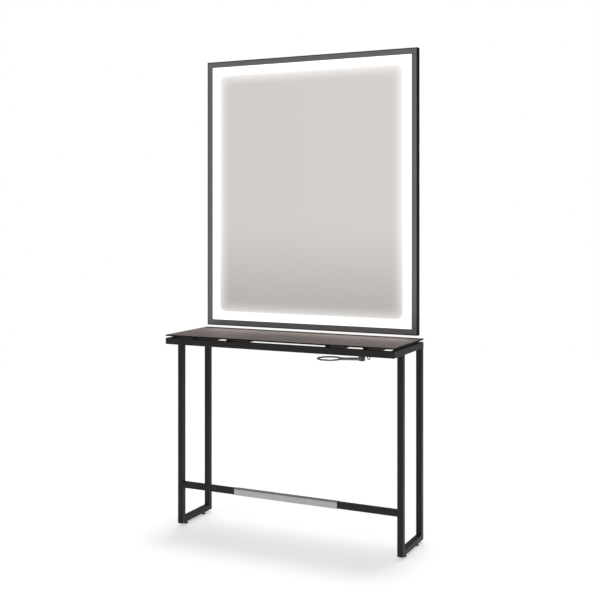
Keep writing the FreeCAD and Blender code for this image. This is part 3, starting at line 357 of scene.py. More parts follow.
def frame_coat(name, stretch):
    """Dark anodised profile: brushed on its front face, with painted shade that makes its sides and its
    outer rim black.
    """
    material, tree, shader = new_finish(name, Specular_IOR_Level=0.3, Specular_Tint=(0.35, 0.35, 0.35, 1))
    lines = use(tree, STREAKS, Stretch=stretch)
    wear = use(tree, EDGE_WEAR, Reach=0.0010)["Mask"]
    smear = use(tree, HAND_MARKS, Amount=0.35)["Mask"]
    normal = add(tree, "ShaderNodeSeparateXYZ", {0: add(tree, "ShaderNodeNewGeometry").outputs["Normal"]})
    # Painted shade: faces that don't face the front are coloured near black below; they are also made less
    # metallic and rougher.
    front = rescale(tree, maths(tree, "MULTIPLY", normal.outputs["Y"], -1.0), 0.55, 0.85, smooth=True)
    brushed = mix_colours(tree, lines["Streak"], tone(0.16, 0.01), tone(0.25, 0.01))
    place = add(tree, "ShaderNodeSeparateXYZ", {0: own_place(tree)}).outputs
    in_side = maths(tree, "SUBTRACT", frame_right[1].x, maths(tree, "ABSOLUTE", place["X"]))
    in_top = maths(tree, "SUBTRACT", (frame_top[1].z - frame_bottom[0].z) / 2,
                   maths(tree, "ABSOLUTE", maths(tree, "SUBTRACT", place["Z"], MIRROR_MIDDLE)))
    # Painted shade: within about 3 to 5 mm of the frame's outer edge the face is coloured near black.
    rim = rescale(tree, maths(tree, "MINIMUM", in_side, in_top), 5 * MM, 3 * MM)
    face = mix_colours(tree, maths(tree, "MULTIPLY", wear, 0.15), brushed, tone(0.30))
    face = mix_colours(tree, rim, face, tone(0.03))
    rough = mix_values(tree, smear, rescale(tree, lines["Streak"], 0.3, 0.7, 0.34, 0.48), 0.52)
    # The sides take the near-black painted shade, and the front takes the brushed face.
    drive(tree, shader, Base_Color=mix_colours(tree, front, tone(0.006), face),
          Metallic=maths(tree, "MULTIPLY", front, 0.7), Roughness=mix_values(tree, front, 0.75, rough))
    raise_surface(tree, shader, lines["Streak"], 0.00003)
    return material


def lit_mirror(half_width, half_height, middle):
    """Silvered glass with a sandblasted border that the light strips shine through, and a painted glow on
    the silver just inside the border.
    """
    material, tree, shader = new_finish("silvered_glass_lit_border", Emission_Strength=1.0)
    border = use(tree, LIT_BORDER, Half_Width=half_width, Half_Height=half_height, Middle=middle,
                 Band=0.036, Fade=0.060)
    marks = use(tree, HAND_MARKS, Amount=0.12)["Mask"]
    sparkle = noise(tree, own_place(tree), 1800.0)
    silver = mix_colours(tree, border["Frost"], (0.86, 0.855, 0.85, 1), tone(0.85))
    clear = mix_values(tree, marks, 0.012, 0.09)
    drive(tree, shader, Base_Color=silver, Metallic=maths(tree, "SUBTRACT", 1.0, border["Frost"]),
          Roughness=mix_values(tree, border["Frost"], clear, 0.55),
          Emission_Color=mix_colours(tree, border["Glow"], tone(0.0), (1.0, 0.99, 0.965, 1)))
    raise_surface(tree, shader, maths(tree, "MULTIPLY", sparkle, border["Frost"]), 0.00002)
    return material


def opal():
    """Opal acrylic, faintly glowing, with a soft moulded ripple."""
    material, tree, shader = new_finish("opal_acrylic_light_spreader", Emission_Strength=0.6, Roughness=0.35)
    cloud = noise(tree, own_place(tree), 14.0, detail=3.0)
    shade = mix_colours(tree, cloud, tone(0.86), tone(0.95))
    drive(tree, shader, Base_Color=shade, Emission_Color=shade)
    raise_surface(tree, shader, noise(tree, own_place(tree), 300.0), 0.00003)
    return material


def light_board():
    """White solder mask of the light strips' boards, with copper pads at the cutting marks."""
    material, tree, shader = new_finish("light_strip_board", Roughness=0.42)
    place = add(tree, "ShaderNodeSeparateXYZ", {0: own_place(tree)}).outputs
    weave = noise(tree, own_place(tree), 900.0, detail=1.0)
    length = maths(tree, "ADD", place["X"], place["Z"])
    cut_marks = maths(tree, "SINE", maths(tree, "MULTIPLY", length, 125.0))
    copper = rescale(tree, cut_marks, 0.985, 0.995)
    drive(tree, shader, Base_Color=mix_colours(tree, copper, tone(0.82, 0.01), (0.62, 0.36, 0.16, 1)),
          Roughness=rescale(tree, weave, 0.3, 0.7, 0.36, 0.50))
    raise_surface(tree, shader, weave, 0.00003)
    return material


def galvanised():
    """Hot-dip galvanised sheet with its crystal spangle."""
    material, tree, shader = new_finish("spangled_galvanised_sheet", Metallic=1.0)
    place = own_place(tree)
    wander = add(tree, "ShaderNodeTexNoise", {"Vector": place, "Scale": 60.0}).outputs["Color"]
    bent = add(tree, "ShaderNodeVectorMath", {0: wander, 1: (0.006, 0.006, 0.006), 2: place},
               operation="MULTIPLY_ADD").outputs[0]
    crystal = add(tree, "ShaderNodeTexVoronoi", {"Vector": bent, "Scale": 85.0}).outputs["Color"]
    facet = add(tree, "ShaderNodeSeparateXYZ", {0: crystal}).outputs
    feather = noise(tree, stretched(tree, bent, (900, 900, 120)), 1.0)
    shade = rescale(tree, maths(tree, "ADD", facet["X"], maths(tree, "MULTIPLY", feather, 0.4)), 0.1, 1.3)
    drive(tree, shader, Base_Color=mix_colours(tree, shade, (0.52, 0.54, 0.56, 1), (0.63, 0.65, 0.67, 1)),
          Roughness=rescale(tree, facet["Y"], 0.0, 1.0, 0.40, 0.52))
    raise_surface(tree, shader, facet["Z"], 0.00002)
    return material


def visible_half(low, high):
    """Half of what the frame leaves open between two of its inner edges."""
    return (high - low) / 2


frame_left, frame_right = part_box("mirror_frame_left"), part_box("mirror_frame_right")
frame_top, frame_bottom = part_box("mirror_frame_top"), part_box("mirror_frame_bottom")
OPENING = {"left": frame_left[1].x, "right": frame_right[0].x,
           "low": frame_bottom[1].z, "high": frame_top[0].z}
MIRROR_MIDDLE = (OPENING["low"] + OPENING["high"]) / 2

BRUSH_ALONG_X, BRUSH_ALONG_Z = (4, 900, 900), (900, 900, 4)
FINISHES = {
    "black_powder_coat": powder_coat(),
    "compact_laminate": laminate(),
    "brushed_stainless": brushed_metal("brushed_stainless_sheet", (0.47, 0.465, 0.457, 1), BRUSH_ALONG_X,
                                       0.30, 0.42),
    "bright_chrome": chrome(),
    "zinc_steel": zinc(),
    "black_nylon": moulded("black_nylon_moulding", tone(0.012), tone(0.030), 0.50, 0.0005, 0.00004),
    "silvered_glass": lit_mirror(visible_half(OPENING["left"], OPENING["right"]),
                                 visible_half(OPENING["low"], OPENING["high"]), MIRROR_MIDDLE),
    "opal_acrylic": opal(),
    "light_strip": light_board(),
    "galvanised_panel": galvanised(),
    "mill_aluminium": brushed_metal("mill_finish_aluminium", (0.72, 0.73, 0.74, 1), BRUSH_ALONG_X,
                                    0.32, 0.44),
    "black_rubber": moulded("black_rubber_moulding", tone(0.010), tone(0.040), 0.72, 0.0008, 0.00006, 0.3),
    "white_plastic": moulded("white_driver_housing", tone(0.70), tone(0.78, 0.01), 0.42, 0.0007, 0.00004),
}
FRAME_ALONG_X = frame_coat("anodised_frame_level_with_painted_shade", BRUSH_ALONG_X)
FRAME_ALONG_Z = frame_coat("anodised_frame_upright_with_painted_shade", BRUSH_ALONG_Z)
FRAME_BARS = {"mirror_frame_top": FRAME_ALONG_X, "mirror_frame_bottom": FRAME_ALONG_X,
              "mirror_frame_left": FRAME_ALONG_Z, "mirror_frame_right": FRAME_ALONG_Z}


def dress_frame_parts():
    """Give every carried part the finish of its material slot."""
    for part in frame["record"]["subparts"]:
        node, slot_name = part["node"], part["material_slot"]
        slots = frame["nodes"][node].material_slots
        slots[0].material = FRAME_BARS.get(node) or FINISHES[slot_name]


dress_frame_parts()


# ------------------------------------------------------------------ mesh tools

UP, DOWN = Vector((0, 0, 1)), Vector((0, 0, -1))
RIGHT, BACKWARD, FORWARD = Vector((1, 0, 0)), Vector((0, 1, 0)), Vector((0, -1, 0))
AXIS = 0.00001           # a turned outline nearer to its axis than this closes in a point
SHARP = math.radians(32)
RING_SPACING, RIPPLE_PITCH = 0.5 * MM, 1.7 * MM      # along a weld bead


def new_piece(name, shape, slot_name, body, replaced=()):
    """Object made of a bmesh, in the finish of its slot, riding on a body and standing for nodes."""
    bmesh.ops.recalc_face_normals(shape, faces=shape.faces)
    mesh = bpy.data.meshes.new(name)
    shape.to_mesh(mesh)
    shape.free()
    mesh.shade_smooth()
    mesh.set_sharp_from_angle(angle=SHARP)
    mesh.materials.append(FINISHES[slot_name])
    piece = bpy.data.objects.new(name, mesh)
    bpy.context.scene.collection.objects.link(piece)
    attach(piece, body)
    if replaced:
        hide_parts(*replaced)
    return piece


def join_rings(shape, lower, upper):
    """Faces between two rings of points, either of which may be a single point."""
    sides = max(len(lower), len(upper))
    for i in range(sides):
        corners = [lower[i % len(lower)], lower[(i + 1) % len(lower)],
                   upper[(i + 1) % len(upper)], upper[i % len(upper)]]
        shape.faces.new(list(dict.fromkeys(corners)))


def turn(shape, middle, way, outline, sides=32):
    """Turned form. Its outline is (radius, height, lobes) along the way from the middle, lobes optional."""
    across = way.orthogonal().normalized()
    along = way.cross(across)
    rings = []
    for radius, height, *lobes in outline:
        centre = middle + way * height
        if radius < AXIS:
            rings.append([shape.verts.new(centre)])
            continue
        ring = []
        for i in range(sides):
            angle = FULL_TURN * i / sides
            reach = radius * (1 + sum(lobes) * math.cos(6 * angle))
            outward = math.cos(angle) * across + math.sin(angle) * along
            ring.append(shape.verts.new(centre + reach * outward))
        rings.append(ring)
    for lower, upper in zip(rings, rings[1:]):
        join_rings(shape, lower, upper)


def thread(shape, middle, way, radius, pitch, length, sides=16, steps=4):
    """Threaded rod with its ends closed: a helical V groove cut 0.6 of the pitch deep."""
    across = way.orthogonal().normalized()
    along = way.cross(across)
    count = round(length / pitch * steps)
    rings = [[shape.verts.new(middle)]]
    for level in range(count + 1):
        height = length * level / count
        ring = []
        for i in range(sides):
            phase = (height / pitch - i / sides) % 1
            reach = radius - 0.6 * pitch * abs(2 * phase - 1) * min(1, (length - height) / pitch + 0.4)
            angle = FULL_TURN * i / sides
            outward = math.cos(angle) * across + math.sin(angle) * along
            ring.append(shape.verts.new(middle + way * height + reach * outward))
        rings.append(ring)
    rings.append([shape.verts.new(middle + way * length)])
    for lower, upper in zip(rings, rings[1:]):
        join_rings(shape, lower, upper)


def block(shape, low, high, edge, segments=3):
    """Box with rounded edges."""
    low, high = Vector(low), Vector(high)
    place = Matrix.Translation((low + high) / 2) @ Matrix.Diagonal((*(high - low), 1))
    corners = bmesh.ops.create_cube(shape, size=1, matrix=place)["verts"]
    edges = list({e for corner in corners for e in corner.link_edges})
    bmesh.ops.bevel(shape, geom=edges, offset=edge, segments=segments, affect="EDGES", profile=0.5)


def screw(shape, under_head, way, head, shank, pitch):
    """Button-head screw with a six-lobed socket. Head and shank are (radius, length)."""
    radius, height = head
    dome = [(0.999 * radius, 0.0), (radius, 0.12 * height), (0.97 * radius, 0.42 * height),
            (0.86 * radius, 0.74 * height), (0.66 * radius, 0.94 * height), (0.52 * radius, height),
            (0.42 * radius, 0.97 * height, 0.14), (0.40 * radius, 0.35 * height, 0.14), (0, 0.28 * height)]
    turn(shape, under_head, way, [(0, 0), (shank[0], 0)] + dome, sides=36)
    thread(shape, under_head, -way, shank[0], pitch, shank[1])


def bead(shape, start, end, out_a, out_b, leg):
    """Weld bead in the corner between two faces, which leave the corner along out_a and out_b."""
    run = end - start
    rings = round(run.length / RING_SPACING)
    for level in range(rings + 1):
        share = level / rings
        ripple = abs(math.sin(math.pi * share * run.length / RIPPLE_PITCH))
        taper = min(1, 5 * share + 0.35, 5 * (1 - share) + 0.35)
        wander = 1 + 0.06 * math.sin(23 * share + start.x * 90)
        size = leg * (0.86 + 0.14 * ripple) * taper * wander
        centre = start + run * share
        arc = [centre + size * (math.cos(a) * out_a + math.sin(a) * out_b)
               for a in (math.radians(15 * step) for step in range(7))]
        ring = [shape.verts.new(point) for point in [centre] + arc]
        if level:
            join_rings(shape, previous, ring)
        else:
            shape.faces.new(ring)
        previous = ring
    shape.faces.new(previous)


# ------------------------------------------------------------------ welds under the powder coat

def middle_of(node):
    """Middle of a node's box."""
    low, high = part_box(node)
    return (low + high) / 2


def ring_welds():
    """Upright beads in the four inner corners of the top ring."""
    shape = bmesh.new()
    left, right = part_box("top_left_rail"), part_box("top_right_rail")
    front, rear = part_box("top_front_rail"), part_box("top_rear_rail")
    for x, inward in ((left[1].x, RIGHT), (right[0].x, -RIGHT)):
        for y, to_middle in ((front[1].y, BACKWARD), (rear[0].y, FORWARD)):
            low, high = Vector((x, y, front[0].z + 2 * MM)), Vector((x, y, front[1].z - 2 * MM))
            bead(shape, low, high, inward, to_middle, 2.6 * MM)
    new_piece("top_ring_weld_beads", shape, "black_powder_coat", STATION)


def leg_welds():
    """Beads across the head and the foot of each leg, on its sides that aren't flush."""
    shape = bmesh.new()
    inset = 2 * MM
    for side in ("left", "right"):
        for end in ("front", "rear"):
            low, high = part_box(f"leg_{end}_{side}")
            rail_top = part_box(f"floor_rail_{side}")[1].z
            inner_y, inward = (high.y, BACKWARD) if end == "front" else (low.y, FORWARD)
            seams = [(inner_y, inward, high.z, DOWN), (inner_y, inward, rail_top, UP)]
            if end == "front":
                seams.append((low.y, FORWARD, high.z, DOWN))
            for y, out, z, way in seams:
                start, stop = Vector((low.x + inset, y, z)), Vector((high.x - inset, y, z))
                bead(shape, start, stop, out, way, 2.6 * MM)
    new_piece("leg_weld_beads", shape, "black_powder_coat", STATION)


def footrest_welds():
    """Beads above and below each end of the footrest bar."""
    shape = bmesh.new()
    low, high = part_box("footrest_bar")
    inset = 2 * MM
    for x, inward in ((low.x, RIGHT), (high.x, -RIGHT)):
        for z, way in ((low.z, DOWN), (high.z, UP)):
            start, stop = Vector((x, low.y + inset, z)), Vector((x, high.y - inset, z))
            bead(shape, start, stop, inward, way, 2.4 * MM)
    new_piece("footrest_weld_beads", shape, "black_powder_coat", STATION)


def bearer_welds():
    """Upright beads down both sides of each end of the worktop's bearers."""
    shape = bmesh.new()
    rail_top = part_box("top_front_rail")[1].z
    for name in ("outer_left", "inner_left", "inner_right", "outer_right"):
        low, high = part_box(f"worktop_bearer_{name}")
        for x, out in ((low.x, -RIGHT), (high.x, RIGHT)):
            for y, inward in ((low.y, BACKWARD), (high.y, FORWARD)):
                foot, head = Vector((x, y, low.z + 2 * MM)), Vector((x, y, rail_top - 2 * MM))
                bead(shape, foot, head, out, inward, 2.2 * MM)
    new_piece("bearer_weld_beads", shape, "black_powder_coat", STATION)


# ------------------------------------------------------------------ fasteners

def row_ends(node, radius):
    """First and last places of a fastener's row in Y, from the box of its group."""
    low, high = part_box(node)
    return low.y + radius, high.y - radius


def worktop_screws():
    """Eight screws up through the bearers into the worktop."""
    shape = bmesh.new()
    head, shank = 4 * MM, 2 * MM
    low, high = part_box("worktop_screws")
    for name in ("outer_left", "inner_left", "inner_right", "outer_right"):
        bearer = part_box(f"worktop_bearer_{name}")
        x = (bearer[0].x + bearer[1].x) / 2
        for y in row_ends("worktop_screws", head):
            screw(shape, Vector((x, y, bearer[0].z)), DOWN, (head, bearer[0].z - low.z),
                  (shank, high.z - bearer[0].z), 1.4 * MM)
    new_piece("worktop_screws_threaded", shape, "zinc_steel", STATION, ["worktop_screws"])


def cover_screws():
    """Two screws that hold the footrest's cover from below."""
    shape = bmesh.new()
    head, shank = 3.5 * MM, 1.75 * MM
    low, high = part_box("footrest_cover_screws")
    under_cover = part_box("footrest_cover")[0].z
    for x in (low.x + head, high.x - head):
        screw(shape, Vector((x, (low.y + high.y) / 2, under_cover)), DOWN, (head, under_cover - low.z),
              (shank, high.z - under_cover), 1.1 * MM)
    new_piece("footrest_cover_screws_threaded", shape, "zinc_steel", STATION, ["footrest_cover_screws"])


def hanging_rivets():
    """Domed blind rivets along the hanging rail, their hollow mandrel ends in the middle."""
    shape = bmesh.new()
    head, shank, count = 4 * MM, 2 * MM, 5
    low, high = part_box("hanging_rail_rivets")
    for i in range(count):
        x = low.x + head + (high.x - low.x - 2 * head) * i / (count - 1)
        middle = Vector((x, low.y, (low.z + high.z) / 2))
        depth = high.y - low.y
        turn(shape, middle, BACKWARD, [
            (0, 0), (shank, 0), (shank, depth - 1.2 * MM),
            (head, depth - 1.2 * MM), (head, depth - 0.8 * MM),
            (0.85 * head, depth - 0.35 * MM), (0.55 * head, depth), (0.42 * head, depth),
            (0.36 * head, depth - 0.7 * MM), (0, depth - 0.8 * MM)])
    new_piece("hanging_rail_rivets_domed", shape, "mill_aluminium", STATION, ["hanging_rail_rivets"])


# ------------------------------------------------------------------ glides

def glide(end, side):
    """One levelling glide: moulded pad, and a threaded stud with a chamfered hexagon."""
    name = f"{end}_{side}"
    body = f"glide_{name}"
    pad_low, pad_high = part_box(f"glide_pad_{name}")
    radius, top = (pad_high.x - pad_low.x) / 2, pad_high.z - pad_low.z
    foot = Vector(((pad_low.x + pad_high.x) / 2, (pad_low.y + pad_high.y) / 2, pad_low.z))
    socket = 4 * MM
    pad = bmesh.new()
    turn(pad, foot, UP, [
        (0, 0.3 * MM), (0.45 * radius, 0.3 * MM), (0.5 * radius, 0), (0.86 * radius, 0),
        (0.95 * radius, 0.3 * MM), (radius, 1.1 * MM), (radius, 0.46 * top), (0.97 * radius, 0.5 * top),
        (0.97 * radius, 0.56 * top), (radius, 0.6 * top), (0.985 * radius, top - 1.2 * MM),
        (0.93 * radius, top - 0.5 * MM), (0.84 * radius, top - 0.05 * MM), (0.66 * radius, top),
        (0.62 * radius, top - 0.5 * MM), (0.54 * radius, top - 0.5 * MM), (0.5 * radius, top),
        (socket, top), (socket, 0.5 * top), (0, 0.5 * top)], sides=48)
    new_piece(f"glide_pad_{name}_moulded", pad, "black_nylon", body, [f"glide_pad_{name}"])

    stud_low, stud_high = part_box(f"glide_stud_{name}")
    collar = 7.4 * MM
    collar_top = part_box(f"floor_rail_{side}")[0].z - foot.z
    stud = bmesh.new()
    stud_foot = foot + UP * (stud_low.z - foot.z)
    thread(stud, stud_foot, UP, socket, 1.25 * MM, stud_high.z - stud_low.z, sides=24)
    turn(stud, foot, UP, [
        (0, top), (0.82 * collar, top), (0.97 * collar, top + 0.5 * MM), (collar, top + 0.9 * MM),
        (collar, collar_top - 0.9 * MM), (0.97 * collar, collar_top - 0.5 * MM), (0.82 * collar, collar_top),
        (0, collar_top)], sides=6)
    new_piece(f"glide_stud_{name}_threaded", stud, "zinc_steel", body, [f"glide_stud_{name}"])


# ------------------------------------------------------------------ dryer holder

def holder_axis():
    """Pivot's place at the hub's middle, and the ring's middle."""
    low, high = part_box("holder_boss")
    hub = middle_of("holder_hub").z
    return Vector(((low.x + high.x) / 2, (low.y + high.y) / 2, hub)), middle_of("holder_ring")


def holder_collars():
    """Polished fillets where the arm meets the hub and the ring, and the hub's two turned beads."""
    pivot, ring = holder_axis()
    way = (ring - pivot).normalized()
    ring_radius, arm = 47 * MM, 6 * MM
    far = (ring - pivot).length - ring_radius
    shape = bmesh.new()
    turn(shape, pivot, way, [(0, 9 * MM), (6.9 * MM, 11 * MM), (6.8 * MM, 12.6 * MM),
                             (6.45 * MM, 13.4 * MM), (6.18 * MM, 14.8 * MM), (arm, 17 * MM), (0, 18 * MM)])
    turn(shape, pivot, way, [(0, far - 9 * MM), (arm, far - 8 * MM), (6.4 * MM, far - 7.4 * MM),
                             (6.4 * MM, far - 3.2 * MM), (6.1 * MM, far - 1.2 * MM),
                             (5.3 * MM, far + 0.8 * MM),
                             (4.2 * MM, far + 2.2 * MM), (2.6 * MM, far + 3.1 * MM), (0, far + 3.3 * MM)])
    hub_low, hub_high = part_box("holder_hub")
    hub = 13 * MM
    for z in (hub_low.z + 2.6 * MM, hub_high.z - 2.6 * MM):
        middle = Vector((pivot.x, pivot.y, z))
        turn(shape, middle, UP, [
            (0, -0.7 * MM), (hub - 0.2 * MM, -0.7 * MM), (hub + 0.25 * MM, -0.35 * MM), (hub + 0.35 * MM, 0),
            (hub + 0.25 * MM, 0.35 * MM), (hub - 0.2 * MM, 0.7 * MM), (0, 0.7 * MM)], sides=64)
    new_piece("holder_collars", shape, "bright_chrome", HOLDER)


def holder_set_screw():
    """Grub screw in the hub, on the side away from the arm."""
    pivot, ring = holder_axis()
    way = (pivot - ring).normalized()
    shape = bmesh.new()
    turn(shape, pivot, way, [
        (0, 11 * MM), (2.1 * MM, 11 * MM), (2.1 * MM, 13.15 * MM), (1.8 * MM, 13.4 * MM),
        (1.15 * MM, 13.4 * MM, 0.1), (1.1 * MM, 12.4 * MM, 0.1), (0, 12.3 * MM)], sides=24)
    new_piece("holder_set_screw", shape, "zinc_steel", HOLDER)


def pivot_screw():
    """Socket screw that the holder swings on."""
    low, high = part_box("holder_pivot_screw")
    head, head_height = 6.5 * MM, 3.2 * MM
    middle = Vector(((low.x + high.x) / 2, (low.y + high.y) / 2, low.z + head_height))
    shape = bmesh.new()
    screw(shape, middle, DOWN, (head, head_height), (2.5 * MM, high.z - middle.z), 0.8 * MM)
    new_piece("holder_pivot_screw_threaded", shape, "zinc_steel", STATION, ["holder_pivot_screw"])


def cable_hook_ends():
    """Rounded tip of the cable hook, and the collar that it screws home against."""
    low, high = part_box("cable_hook")
    wire = 2 * MM
    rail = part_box("top_front_rail")[0].z
    y = (low.y + high.y) / 2
    shape = bmesh.new()
    turn(shape, Vector((low.x + 2.6 * MM, y, rail)), DOWN, [
        (0, 0), (3.9 * MM, 0), (4.2 * MM, 0.4 * MM), (4.2 * MM, 1.0 * MM), (3.6 * MM, 1.6 * MM),
        (2.5 * MM, 2.0 * MM), (wire, 2.6 * MM), (0, 2.8 * MM)])
    tip = Vector((high.x - 2.6 * MM, y, rail - 3 * MM))
    dome = [(2.5 * MM * math.cos(a), 2.5 * MM * math.sin(a)) for a in
            (math.radians(angle) for angle in range(-75, 90, 15))]
    turn(shape, tip, UP, [(0, -2.6 * MM)] + dome + [(0, 2.5 * MM)])
    new_piece("cable_hook_ends", shape, "bright_chrome", STATION)


# ------------------------------------------------------------------ behind the mirror

def led_driver():
    """Flat driver case with cooling ribs, and end covers with their screws and three raised bars each."""
    low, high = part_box("led_driver")
    cap, edge = 22 * MM, 1.6 * MM
    case, covers = bmesh.new(), bmesh.new()
    block(case, (low.x + cap, low.y, low.z + 1 * MM),
          (high.x - cap, high.y - 0.8 * MM, high.z - 1 * MM), edge)
    ribs, bars = 11, 3
    for i in range(ribs):
        x = low.x + cap + 14 * MM + (high.x - low.x - 2 * cap - 28 * MM) * i / (ribs - 1)
        block(case, (x - 2 * MM, high.y - 1.6 * MM, low.z + 8 * MM),
              (x + 2 * MM, high.y, high.z - 8 * MM), 0.6 * MM)
    new_piece("led_driver_case", case, "white_plastic", STATION, ["led_driver"])
    screws = bmesh.new()
    for start, end in ((low.x, low.x + cap - 0.4 * MM), (high.x - cap + 0.4 * MM, high.x)):
        block(covers, (start, low.y, low.z), (end, high.y - 0.5 * MM, high.z), edge)
        for z in (low.z + 6 * MM, high.z - 6 * MM):
            screw(screws, Vector(((start + end) / 2, high.y - 0.6 * MM, z)), BACKWARD, (2.4 * MM, 0.6 * MM),
                  (1.2 * MM, 5 * MM), 0.9 * MM)
        for i in range(bars):
            z = (low.z + high.z) / 2 + (i - 1) * 7 * MM
            block(covers, (start + 2 * MM, high.y - 0.8 * MM, z - 2.4 * MM),
                  (end - 2 * MM, high.y - 0.1 * MM, z + 2.4 * MM), 0.3 * MM)
    new_piece("led_driver_end_covers", covers, "white_plastic", STATION)
    new_piece("led_driver_screws", screws, "zinc_steel", STATION)


def wall_bumpers():
    """Rubber buffers that keep the mirror's foot off the wall, each with a moulded recess."""
    low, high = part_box("wall_bumpers")
    radius = (high.z - low.z) / 2
    depth = high.y - low.y
    shape = bmesh.new()
    for x in (low.x + radius, high.x - radius):
        turn(shape, Vector((x, low.y, (low.z + high.z) / 2)), BACKWARD, [
            (0, 0), (radius, 0), (radius, 1.5 * MM), (0.94 * radius, 2.2 * MM),
            (0.88 * radius, depth - 2.4 * MM), (0.82 * radius, depth - 0.9 * MM),
            (0.7 * radius, depth - 0.1 * MM), (0.55 * radius, depth),
            (0.42 * radius, depth - 0.2 * MM), (0.36 * radius, depth - 2.8 * MM),
            (0, depth - 3 * MM)], sides=40)
    new_piece("wall_bumpers_moulded", shape, "black_rubber", STATION, ["wall_bumpers"])


def cable_grommet():
    """Lipped rubber grommet round the supply hole in the back panel."""
    low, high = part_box("cable_grommet")
    outer = (high.x - low.x) / 2
    neck, bore = outer - 2.5 * MM, outer - 5 * MM
    middle = Vector(((low.x + high.x) / 2, low.y, (low.z + high.z) / 2))
    depth = high.y - low.y
    lip = 1.5 * MM
    shape = bmesh.new()
    turn(shape, middle, BACKWARD, [
        (bore + 0.4 * MM, 0.3 * MM), (bore + 1 * MM, 0), (outer - 0.6 * MM, 0), (outer, 0.5 * MM),
        (outer, lip - 0.2 * MM), (outer - 0.2 * MM, lip), (neck, lip), (neck, depth - lip),
        (outer - 0.2 * MM, depth - lip), (outer, depth - lip + 0.2 * MM), (outer, depth - 0.5 * MM),
        (outer - 0.6 * MM, depth), (bore + 1 * MM, depth), (bore + 0.4 * MM, depth - 0.3 * MM),
        (bore, depth - 1 * MM), (bore, 1 * MM), (bore + 0.4 * MM, 0.3 * MM)], sides=48)
    new_piece("cable_grommet_lipped", shape, "black_rubber", STATION, ["cable_grommet"])


ring_welds()
leg_welds()
footrest_welds()
bearer_welds()
worktop_screws()
cover_screws()
hanging_rivets()
for side_name in ("left", "right"):
    for end_name in ("front", "rear"):
        glide(end_name, side_name)
holder_collars()
holder_set_screw()
pivot_screw()
cable_hook_ends()
led_driver()
wall_bumpers()
cable_grommet()


# ------------------------------------------------------------------ studio

def studio_floor():
    """Round pale floor that the station stands on."""
    radius, sides = 5.6, 96
    shape = bmesh.new()
    angles = [FULL_TURN * i / sides for i in range(sides)]
    rim = [shape.verts.new((radius * math.cos(angle), radius * math.sin(angle), 0)) for angle in angles]
    shape.faces.new(rim)
    mesh = bpy.data.meshes.new("studio_floor")
    shape.to_mesh(mesh)
    shape.free()
    floor = bpy.data.objects.new("studio_floor", mesh)
    bpy.context.scene.collection.objects.link(floor)
    material, tree, shader = new_finish("pale_floor", Roughness=0.7, Specular_IOR_Level=0.1,
                                        Emission_Strength=0.47)
    drift = noise(tree, own_place(tree), 0.8)
    drive(tree, shader, Base_Color=mix_colours(tree, drift, tone(0.80), tone(0.84)))
    shader.inputs["Emission Color"].default_value = tone(1.0)
    mesh.materials.append(material)


def overhead_light():
    """Broad distant light from above and a little behind, which lays a soft shadow in front."""
    data = bpy.data.lights.new("overhead_light", "SUN")
    data.energy, data.angle = 0.9, math.radians(16)
    light = bpy.data.objects.new("overhead_light", data)
    light.rotation_euler = Vector((-0.01, 0.20, 1)).to_track_quat("Z", "Y").to_euler()
    bpy.context.scene.collection.objects.link(light)


STRIP_RADIANCE = 14        # brightness of each light strip's lamp, whatever its area

# Azimuth of each dark flag round the studio, from the front to the right, and how bright it is.
FLAGS = ((30, 0.05), (-75, 0.05), (150, 0.20))


def border_lights():
    """The mirror's four light strips, as lamps in front of its frosted border."""
    band, face = 0.038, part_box("mirror_frame_top")[0].y + 0.5 * MM
    high = OPENING["high"] - OPENING["low"]
    wide = OPENING["right"] - OPENING["left"]
    middle = (OPENING["left"] + OPENING["right"]) / 2
    strips = {"top": (middle, OPENING["high"] - band / 2, wide, band),
              "bottom": (middle, OPENING["low"] + band / 2, wide, band),
              "left": (OPENING["left"] + band / 2, MIRROR_MIDDLE, band, high - 2 * band),
              "right": (OPENING["right"] - band / 2, MIRROR_MIDDLE, band, high - 2 * band)}
    for name, (x, z, width, height) in strips.items():
        data = bpy.data.lights.new(f"border_light_{name}", "AREA")
        data.shape, data.size, data.size_y = "RECTANGLE", width, height
        data.energy = STRIP_RADIANCE * math.pi * width * height
        data.color = (1.0, 0.98, 0.95)
        light = bpy.data.objects.new(f"border_light_{name}", data)
        light.location = (x, face, z)
        light.rotation_euler = (-math.pi / 2, 0, 0)
        light.visible_camera = light.visible_glossy = False
        bpy.context.scene.collection.objects.link(light)


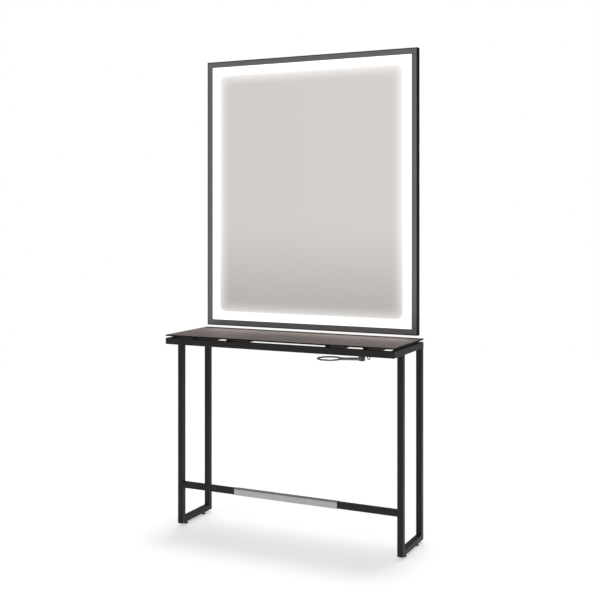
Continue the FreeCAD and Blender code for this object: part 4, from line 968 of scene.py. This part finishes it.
def studio_room():
    """Pale room: white as a backdrop, and in reflections grey walls, dark flags and a mid-grey ceiling."""
    world = bpy.data.worlds.new("studio_room")
    world.use_nodes = True
    tree = world.node_tree
    tree.nodes.clear()
    direction = add(tree, "ShaderNodeTexCoord").outputs["Generated"]
    way = add(tree, "ShaderNodeSeparateXYZ", {0: direction}).outputs
    to_front = rescale(tree, way["Y"], 0.1, -0.5, smooth=True)
    rise = rescale(tree, way["Z"], -0.12, 0.0, 0.51, 0.74, smooth=True)
    sweep = rescale(tree, way["X"], -0.65, -0.15, 0.92, 1.06)
    front_wall = mix_colours(tree, maths(tree, "MULTIPLY", rise, sweep), tone(0.0), (1.04, 1.0, 0.985, 1))
    walls = mix_colours(tree, to_front, tone(0.24), front_wall)
    for azimuth, level in FLAGS:
        angle = math.radians(azimuth)
        facing = maths(tree, "ADD", maths(tree, "MULTIPLY", way["X"], math.sin(angle)),
                       maths(tree, "MULTIPLY", way["Y"], -math.cos(angle)))
        walls = mix_colours(tree, rescale(tree, facing, 0.90, 0.97, smooth=True), walls, tone(level))
    overhead = rescale(tree, way["Z"], 0.10, 0.75, smooth=True)
    room = mix_colours(tree, overhead, walls, tone(0.45))
    seen = add(tree, "ShaderNodeLightPath").outputs["Is Camera Ray"]
    shade = mix_colours(tree, seen, room, tone(1.0))
    background = add(tree, "ShaderNodeBackground", {"Color": shade, "Strength": 1.0})
    add(tree, "ShaderNodeOutputWorld", {"Surface": background.outputs[0]})
    bpy.context.scene.world = world


def studio_camera():
    """Level camera to the right of the station, shifted down to take in its feet."""
    data = bpy.data.cameras.new("studio_camera")
    data.sensor_width, data.lens, data.shift_y = 36.0, 60.923, -0.1429
    camera = bpy.data.objects.new("studio_camera", data)
    camera.location = (1.8944, -4.0602, 1.3731)
    camera.rotation_euler = (math.pi / 2, 0, math.radians(25.5734))
    bpy.context.scene.collection.objects.link(camera)
    bpy.context.scene.camera = camera


studio_floor()
studio_room()
studio_camera()
overhead_light()
border_lights()
bpy.context.scene.view_settings.view_transform = "Standard"
